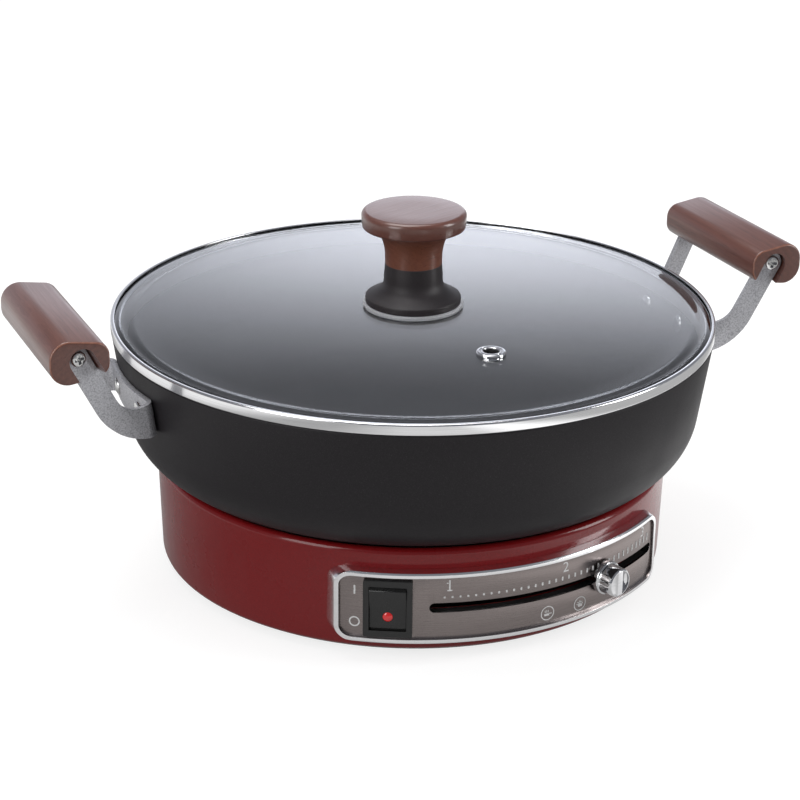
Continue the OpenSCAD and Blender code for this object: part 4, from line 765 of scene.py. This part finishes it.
def lid_pane():
    """The glass: a flat edge, a low shoulder and a shallow dome, with holes for the knob and the vent."""
    edge, knob_hole_r, vent_hole_r, drill_l = 1.0, 4.0, 5.25, 30.0
    shoulder_steps, dome_steps = 24, 16
    shoulder = [SHOULDER_R - (SHOULDER_R - DOME_R) * i / shoulder_steps for i in range(shoulder_steps + 1)]
    dome = [DOME_R * (1 - i / dome_steps) for i in range(1, dome_steps)]
    radii = [GLASS_R - edge] + shoulder + dome + [knob_hole_r]
    top = [(r, GLASS_Z0 + GLASS_T + glass_lift(r)) for r in radii]
    low = [(r, GLASS_Z0 + glass_lift(r)) for r in reversed(radii)]
    rim = [(GLASS_R, GLASS_Z0 + edge), (GLASS_R, GLASS_Z0 + GLASS_T - edge)]
    pane = turned("lid_pane", rim + top + low, steps=200, smooth=60)
    rest_tools()
    bpy.ops.mesh.primitive_cylinder_add(vertices=64, radius=vent_hole_r * MM, depth=drill_l * MM,
                                        location=spot(VENT_A, VENT_R, LID_TOP))
    cut_away(pane, bpy.context.object)
    fit(pane, "lid", GLASS, "lid_glass", slot="glass")
    finish_faces(pane, COATED_GLASS, lambda face: face.normal.z > 0.5)


def lid_band():
    """The steel band: a narrow lip over the glass and a satin skirt that locates the lid in the pan."""
    sheet, lip, crown, corner = 0.7, 1.8, 1.0, 0.6
    drop, gap, lean = 11.0, 1.0, 1.0
    skirt_r = RIM_R - PAN_T / math.cos(DRAFT) - drop * math.tan(DRAFT) - gap
    profile = (arc(skirt_r - lean - sheet / 2, RIM_Z - drop + sheet / 2, sheet / 2, 180, 360, 6)
               + [(skirt_r + lean, RIM_Z)]
               + arc(LID_R - corner, RIM_Z + corner, corner, -90, 0, 5)
               + arc(LID_R - crown, LID_TOP - crown, crown, 0, 90, 10)
               + arc(LID_R - lip, LID_TOP - sheet / 2, sheet / 2, 90, 270, 6)
               + arc(LID_R - crown, LID_TOP - crown, crown - sheet, 90, 0, 8)
               + [(LID_R - sheet, RIM_Z + sheet), (skirt_r + lean - sheet, RIM_Z + sheet)])
    band = fit(turned("lid_band", profile, steps=220), "lid", POLISHED, "lid_rim_band", slot="polished_steel")
    satin_z, satin_r = (RIM_Z + 0.2) * MM, (skirt_r + lean + 0.2) * MM
    finish_faces(band, SATIN, lambda face: face.center.z < satin_z and face.center.xy.length < satin_r)


def vent_eyelet():
    """The steam vent: a rolled crown with a groove, a tube through the glass and a flange below."""
    hole, tube, flange, low_flange = 4.25, 5.15, 7.6, 6.4
    gap, crown_h, low_h = 0.1, 1.6, 0.8
    roll_r, edge_r = 0.5, 0.9
    groove_in, groove_out, groove_slope, groove_h = 1.0, 2.0, 0.3, 0.35
    top = GLASS_Z0 + GLASS_T + glass_lift(VENT_R) + gap
    low = GLASS_Z0 + glass_lift(VENT_R) - gap
    crown = top + crown_h
    groove = [(hole + groove_in, crown), (hole + groove_in + groove_slope, crown - groove_h),
              (hole + groove_out - groove_slope, crown - groove_h), (hole + groove_out, crown)]
    profile = (arc(hole + roll_r, crown - roll_r, roll_r, 180, 90, 6) + groove
               + arc(flange - edge_r, crown - edge_r, edge_r, 90, 0, 8)
               + [(flange, top), (tube, top), (tube, low), (low_flange, low), (low_flange, low - low_h)]
               + [(hole, low - low_h)])
    eyelet = turned("vent_eyelet", profile, steps=72)
    eyelet.location = spot(VENT_A, VENT_R, 0)
    fit(settle(eyelet), "lid", POLISHED, "lid_vent_eyelet", slot="polished_steel")


def keep_out_of_glass(piece):
    """Hides a piece from what the glass mirrors and lets through."""
    piece.visible_glossy = piece.visible_transmission = False


def knob_cap():
    """The wooden cap: a flared neck under a flat top with a rounded edge."""
    cap_z, cap_r, flare_r, flare_h, steps = 181.7, 27.7, 5.4, 19.1, 20
    under_in, under_rise, under_r, under_edge, edge_r = 3.4, 0.3, 1.2, 1.5, 2.6
    flat_r, neck_margin = cap_r * 0.5, 0.9
    flare = [(NECK_R + flare_r * (i / steps) ** 3, NECK_Z + flare_h * i / steps) for i in range(steps + 1)]
    profile = ([(0, NECK_Z)] + flare + [(cap_r - under_in, cap_z - under_rise)]
               + arc(cap_r - under_edge, cap_z + under_r, under_r, -90, 0, 6)
               + arc(cap_r - edge_r, KNOB_TOP - edge_r, edge_r, 0, 90, 12)
               + [(flat_r, KNOB_TOP), (0, KNOB_TOP)])
    cap = fit(turned("knob_cap", profile, closed=False), "lid", KNOB_WOOD, "lid_knob_cap", slot="wood")
    neck_top = (cap_z - neck_margin) * MM
    finish_faces(cap, NECK_WOOD, lambda face: face.center.z < neck_top)
    keep_out_of_glass(cap)


def knob_skirt():
    """The black skirt: an upright rim, then a sweep up to the neck."""
    foot_r, rim_h, sweep_h, hollow, steps = 25.4, 3.8, 10.85, 3.2, 28
    low_r, rim_r, rim_drop = 0.6, 0.8, 0.7
    waist_r = NECK_R + 0.5
    sweep = [(waist_r + (foot_r - waist_r) * (1 - i / steps) ** hollow,
              KNOB_FOOT_Z + rim_h + sweep_h * i / steps) for i in range(1, steps + 1)]
    profile = ([(0, KNOB_FOOT_Z)] + arc(foot_r - low_r, KNOB_FOOT_Z + low_r, low_r, -90, 0, 5)
               + arc(foot_r - rim_r, KNOB_FOOT_Z + rim_h - rim_drop, rim_r, 0, 68, 6) + sweep
               + [(NECK_R, NECK_Z - KNOB_FIT), (0, NECK_Z - KNOB_FIT)])
    skirt = fit(turned("knob_skirt", profile, closed=False), "lid", BAKELITE, "lid_knob_skirt",
                slot="black_plastic")
    keep_out_of_glass(skirt)


def knob_gasket():
    """The clear gasket between the knob and the glass."""
    hole_r, gasket_r, round_r = 3.0, 26.7, 0.8
    top = KNOB_FOOT_Z - KNOB_FIT
    profile = ([(hole_r, GLASS_TOP)] + arc(gasket_r - round_r, GLASS_TOP + round_r, round_r, -90, 0, 6)
               + arc(gasket_r - round_r, top - round_r, round_r, 0, 90, 6) + [(hole_r, top)])
    fit(turned("knob_gasket", profile), "lid", SILICONE, "lid_knob_gasket", slot="clear_rubber")


def lid_knob():
    knob_cap()
    knob_skirt()
    keep_out_of_glass(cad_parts["lid_knob_screw"])
    knob_gasket()


# Pan and its handles

def pan_body():
    """The pan: a wall of even thickness with a round foot and a rounded rim."""
    rim_r, flat_r = 1.2, SEAT_R * 0.5
    lip = PAN_T / math.cos(DRAFT)
    turn = -math.degrees(DRAFT)
    outer = arc(SEAT_R, SEAT_Z + CORNER_R, CORNER_R, -90, turn, 24)
    inner = arc(SEAT_R, SEAT_Z + CORNER_R, CORNER_R - PAN_T, turn, -90, 24)
    profile = ([(0, SEAT_Z), (flat_r, SEAT_Z)] + outer + arc(RIM_R - rim_r, RIM_Z - rim_r, rim_r, 0, 90, 6)
               + arc(RIM_R - lip + rim_r, RIM_Z - rim_r, rim_r, 90, 180, 6) + inner
               + [(flat_r, SEAT_Z + PAN_T), (0, SEAT_Z + PAN_T)])
    pan = turned("pan_body", profile, steps=220, closed=False, smooth=SOLID_SMOOTH)
    fit(pan, "pan", COATING, "pan", slot="coated_aluminium")


def side_turn(side):
    """The left handle is the right one, turned half round."""
    return Matrix.Rotation(0 if side > 0 else math.pi, 4, "Z")


def handle_place(side):
    """The frame of a handle, x out of the wall and z up along it, and the wall's radius there."""
    wall_r = WALL_FOOT[0] + (BRACKET_Z - WALL_FOOT[1]) * math.tan(DRAFT)
    on_wall = Matrix.Translation((wall_r * MM, 0, BRACKET_Z * MM)) @ Matrix.Rotation(DRAFT, 4, "Y")
    return side_turn(side) @ on_wall, wall_r / math.cos(DRAFT)


def arm_end(side, end):
    """The frame of an arm at its grip screw: x out, y across the arm."""
    on_wall, round_r = handle_place(side)
    out_and_up = Matrix.Translation(((round_r + GRIP_OUT) * MM, 0, GRIP_UP * MM))
    return (on_wall @ Matrix.Translation((-round_r * MM, 0, 0)) @ Matrix.Rotation(GRIP_ARM * end, 4, "Z")
            @ out_and_up)


def grip_screw_place(side, end):
    """The frame of a grip screw on the outer face of its arm."""
    seat = Matrix.Rotation(-end * math.pi / 2, 4, "X") @ Matrix.Translation((0, 0, ARM_HALF_T * MM))
    return arm_end(side, end) @ seat


def grip_slot(side, end):
    """What an arm's slot takes out of a grip."""
    half_w, reach, lean = 6.5, 60.0, 70.4
    slope = math.radians(lean)
    down = [(half_w * math.cos(math.radians(turn)) - reach * math.cos(slope),
             half_w * math.sin(math.radians(turn)) - reach * math.sin(slope))
            for turn in (lean + 90, lean - 90)]
    outline = arc(0, 0, half_w, lean - 90, lean + 90, 24) + down
    tool = prism("grip_slot", outline, *((-ARM_HALF_T, reach) if end > 0 else (-reach, ARM_HALF_T)))
    return placed(tool, arm_end(side, end))


def wooden_grip(name, side):
    """A grip with round corners and ends, narrower towards the pan, with a slot at each end."""
    half_d, half_in, half_out, half_l = 15.0, 8.2, 12.8, 47.5
    in_r, out_r, end_r = 7.4, 9.6, 1.2
    lean = math.atan2(half_out - half_in, 2 * half_d)
    turn = 90 + math.degrees(lean)
    in_x, out_x = in_r - half_d, half_d - out_r
    in_z = half_in - in_r / math.cos(lean) + in_r * math.tan(lean)
    out_z = half_out - out_r / math.cos(lean) - out_r * math.tan(lean)
    outline = (arc(in_x, in_z, in_r, turn, 180, 14) + arc(in_x, -in_z, in_r, 180, 360 - turn, 14)
               + arc(out_x, -out_z, out_r, 360 - turn, 360, 16) + arc(out_x, out_z, out_r, 0, turn, 16))
    grip = prism(name, outline, -half_l, half_l)
    bpy.ops.object.mode_set(mode="EDIT")
    bpy.ops.mesh.select_mode(type="FACE")
    bpy.ops.mesh.select_all(action="DESELECT")
    bpy.ops.object.mode_set(mode="OBJECT")
    for face in grip.data.polygons:
        face.select = abs(face.normal.y) > 0.9
    bpy.ops.object.mode_set(mode="EDIT")
    bpy.ops.mesh.bevel(offset=end_r * MM, segments=4)
    bpy.ops.mesh.select_mode(type="VERT")
    bpy.ops.object.mode_set(mode="OBJECT")
    on_wall, round_r = handle_place(side)
    reach = (round_r + GRIP_OUT) * math.cos(GRIP_ARM) - round_r
    centre = on_wall @ (Vector((reach, 0, GRIP_UP)) * MM)
    placed(grip, Matrix.Translation(centre) @ side_turn(side))
    for end in (-1, 1):
        cut_away(grip, grip_slot(side, end))
    return smoothed(grip, SOLID_SMOOTH)


def handles():
    """On each side a hammered bracket with its rivets, a wooden grip and its screws."""
    end_face, highlight_edge_from = 0.95, 0.35
    for side, label in ((-1, "left"), (1, "right")):
        dress(label + "_handle_bracket", "pan", HAMMERED, 0.55, slot="hammered_steel")
        dress(label + "_handle_rivets", "pan", NICKEL, 0, slot="steel")
        grip = wooden_grip(label + "_handle_grip_piece", side)
        fit(grip, "pan", GRIP_WOOD, label + "_handle_grip", slot="wood")
        finish_faces(grip, END_WOOD, lambda face: abs(face.normal.y) > end_face)
        # The rounded edges round the grip ends take the lighter wood, a painted highlight
        finish_faces(grip, EDGE_HIGHLIGHT_WOOD, lambda face: highlight_edge_from < abs(face.normal.y) <= end_face)
        screws = [placed(cross_screw(8.0, 2.2, 4.0, 16.0), grip_screw_place(side, end)) for end in (-1, 1)]
        fit(joined(screws, label + "_grip_screw_pair"), "pan", NICKEL, label + "_grip_screws", slot="steel")


# Base

def base():
    """The enamelled shell, the bottom plate with its screws, and the feet."""
    dress("base_shell", "base", ENAMEL, 0, smooth=30, slot="red_enamel")
    dress("bottom_plate", "base", BLACK_STEEL, 0.3, segments=2, slot="dark_steel")
    dress("rubber_feet", "base", RUBBER, 0.5, slot="rubber")
    head_down = Matrix.Rotation(math.pi, 4, "X")
    screws = [placed(cross_screw(7.6, 1.8, 4.0, 10.0),
                     Matrix.Translation(spot(a, BOTTOM_SCREW_R, BOTTOM_SCREW_Z)) @ head_down)
              for a in BOTTOM_SCREW_A]
    fit(joined(screws, "bottom_screw_set"), "base", STEEL, "bottom_screws", slot="steel")


def power_inlet():
    """The mains inlet at the back, with its screws."""
    dress("inlet_surround", "base", BLACK, 0.7, slot="black_plastic")
    dress("inlet_socket", "base", GLOSS_BLACK, 0.35, slot="black_plastic")
    dress("inlet_pins", "base", BRASS, 0.3, slot="brass")
    head_out = Matrix.Rotation(-math.pi / 2, 4, "X")
    screws = [placed(cross_screw(6.6, 1.8, 4.0, 11.0),
                     Matrix.Translation(Vector((x, INLET_FACE, INLET_Z)) * MM) @ head_out)
              for x in (-INLET_SCREW_X, INLET_SCREW_X)]
    fit(joined(screws, "inlet_screw_pair"), "base", BLACK_STEEL, "inlet_screws", slot="dark_steel")


# Control panel

def is_edge(face):
    """Whether a face of the curved plate looks neither out of the base nor into it."""
    out = Vector((face.center.x, face.center.y, 0)).normalized()
    return abs(face.normal.dot(out)) <= 0.97


def panel():
    """The bright frame, the brushed plate with bright edges, the switch and the slider's knob."""
    dress("panel_frame", "base", BEAD, 0.45, segments=4, slot="chrome")
    plate = dress("panel_plate", "base", PANEL, 0.3, segments=2, slot="brushed_panel")
    finish_faces(plate, CHROME, is_edge)
    dress("switch_housing", "base", BLACK, 0.4, slot="black_plastic")
    dress("switch_rocker", "rocker", GLOSS_BLACK, 0.5, segments=4, slot="black_plastic")
    dress("indicator_lens", "rocker", LAMP, 0.15, slot="red_lens")
    dress("slider_knob", "slider", CHROME, 0.25, slot="chrome_plastic")


def on_plate(a, z):
    """The frame of a flat mark on the panel plate, drawn in x and y."""
    return (Matrix.Translation(spot(a, PLATE_R + PRINT_PROUD, z)) @ Matrix.Rotation(math.radians(a), 4, "Z")
            @ Matrix.Rotation(math.pi / 2, 4, "X"))


def chip(a, z, w, h):
    """A flat printed bar on the panel plate, in mm, at an angle round the base."""
    thick, edge = 0.08, min(w, h) * 0.2
    rest_tools()
    bpy.ops.mesh.primitive_cube_add(size=1, location=spot(a, PLATE_R + PRINT_PROUD, z),
                                    rotation=(0, 0, math.radians(a)))
    obj = bpy.context.object
    obj.scale = (w * MM, thick * MM, h * MM)
    settle(obj)
    bpy.ops.object.mode_set(mode="EDIT")
    bpy.ops.mesh.select_all(action="SELECT")
    bpy.ops.mesh.bevel(offset=edge * MM, segments=1)
    bpy.ops.object.mode_set(mode="OBJECT")
    return obj


def printed_ring(a, z, r, w):
    """A flat printed ring on the panel plate."""
    ring = turned("ring", [(r - w, 0), (r, 0), (r, PRINT_T), (r - w, PRINT_T)], steps=40)
    return placed(ring, on_plate(a, z))


def numeral(a, z, text, h):
    """A flat printed numeral on the panel plate, about h high."""
    size_per_height = 1.4
    rest_tools()
    bpy.ops.object.text_add()
    letter = bpy.context.object.data
    letter.body = text
    letter.size = h * MM * size_per_height
    letter.align_x = "CENTER"
    letter.align_y = "CENTER"
    letter.extrude = PRINT_T / 2 * MM
    bpy.ops.object.convert(target="MESH")
    obj = placed(bpy.context.object, on_plate(a, z))
    bpy.ops.object.mode_set(mode="EDIT")
    close_mesh()
    return obj


def pot_mark(a, z):
    """A pot with its lid and two ears, drawn with small bars."""
    step = math.degrees(1 / PLATE_R)
    return ([chip(a, z - 0.6, 2.6, 1.8), chip(a, z + 0.85, 3.2, 0.5), chip(a, z + 1.4, 0.8, 0.5)]
            + [chip(a + side * 1.75 * step, z - 0.1, 0.6, 0.6) for side in (-1, 1)])


def pan_mark(a, z):
    """A shallow pan with its handle and steam."""
    step = math.degrees(1 / PLATE_R)
    return ([chip(a - 0.5 * step, z - 0.7, 2.8, 1.1), chip(a + 1.7 * step, z - 0.4, 1.5, 0.5)]
            + [chip(a + (i - 1.5) * 0.9 * step, z + 1.0, 0.4, 1.3) for i in range(3)])


def heat_scale():
    """A row of bars over the slot that grow from low heat to high, with the numerals 1 to 3."""
    count, start, sweep = 34, -17, 52.5
    foot_z, bar_w, low_h, growth = 36.3, 0.95, 0.95, 3.1
    numeral_z, numeral_h = 43.0, 5.6
    marks = []
    for i in range(count):
        t = i / (count - 1)
        h = low_h + growth * t ** 1.5
        marks.append(chip(start + sweep * t, foot_z + h / 2, bar_w, h))
    for a, text in ((-16.0, "1"), (9.2, "2"), (33.2, "3")):
        marks.append(numeral(a, numeral_z, text, numeral_h))
    return marks + [chip(-16.45, 44.4, 0.9, 0.6), chip(-16.0, 40.4, 2.6, 0.6)]


def panel_marks():
    """The heat scale, a bar and a ring at the switch, and three ringed pots and pans under the slot."""
    switch_a, mark_z = -34.9, 20.0
    marks = heat_scale()
    marks += [chip(switch_a, 39.8, 0.95, 4.8), printed_ring(switch_a, 22.2, 2.8, 0.75)]
    for a, mark in ((5.1, pan_mark), (13.2, pot_mark), (24.6, pot_mark)):
        marks.append(printed_ring(a, mark_z, 3.9, 0.5))
        marks += mark(a, mark_z)
    fit(joined(marks, "panel_marks"), "base", PRINT)


lid_pane()
lid_band()
vent_eyelet()
lid_knob()
pan_body()
handles()
base()
power_inlet()
panel()
panel_marks()


# The other solids keep their shape and take their finish

FINISHES = {
    STEEL: ["lid_knob_washer", "lid_knob_screw", "support_posts", "post_nuts", "heater_tube", "plate_spacers",
            "spacer_screws", "panel_push_nuts", "thermostat_shaft", "lever_nut"],
    ZINC: ["heat_shield", "slider_lever"],
    CAST: ["heating_plate"],
    BLACK: ["panel_carrier"],
    CERAMIC: ["thermostat_body", "thermal_fuse"],
    BRASS: ["thermostat_bushing", "thermostat_terminals", "switch_terminals"],
    WIRES["brown"]: ["wire_mains_live"],
    WIRES["red"]: ["wire_switched_live", "wire_heater_feed"],
    WIRES["blue"]: ["wire_neutral"],
    WIRES["green"]: ["wire_earth"],
}
for material, names in FINISHES.items():
    for name in names:
        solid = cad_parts[name]
        solid.data.materials.clear()
        solid.data.materials.append(material)

rest_tools()
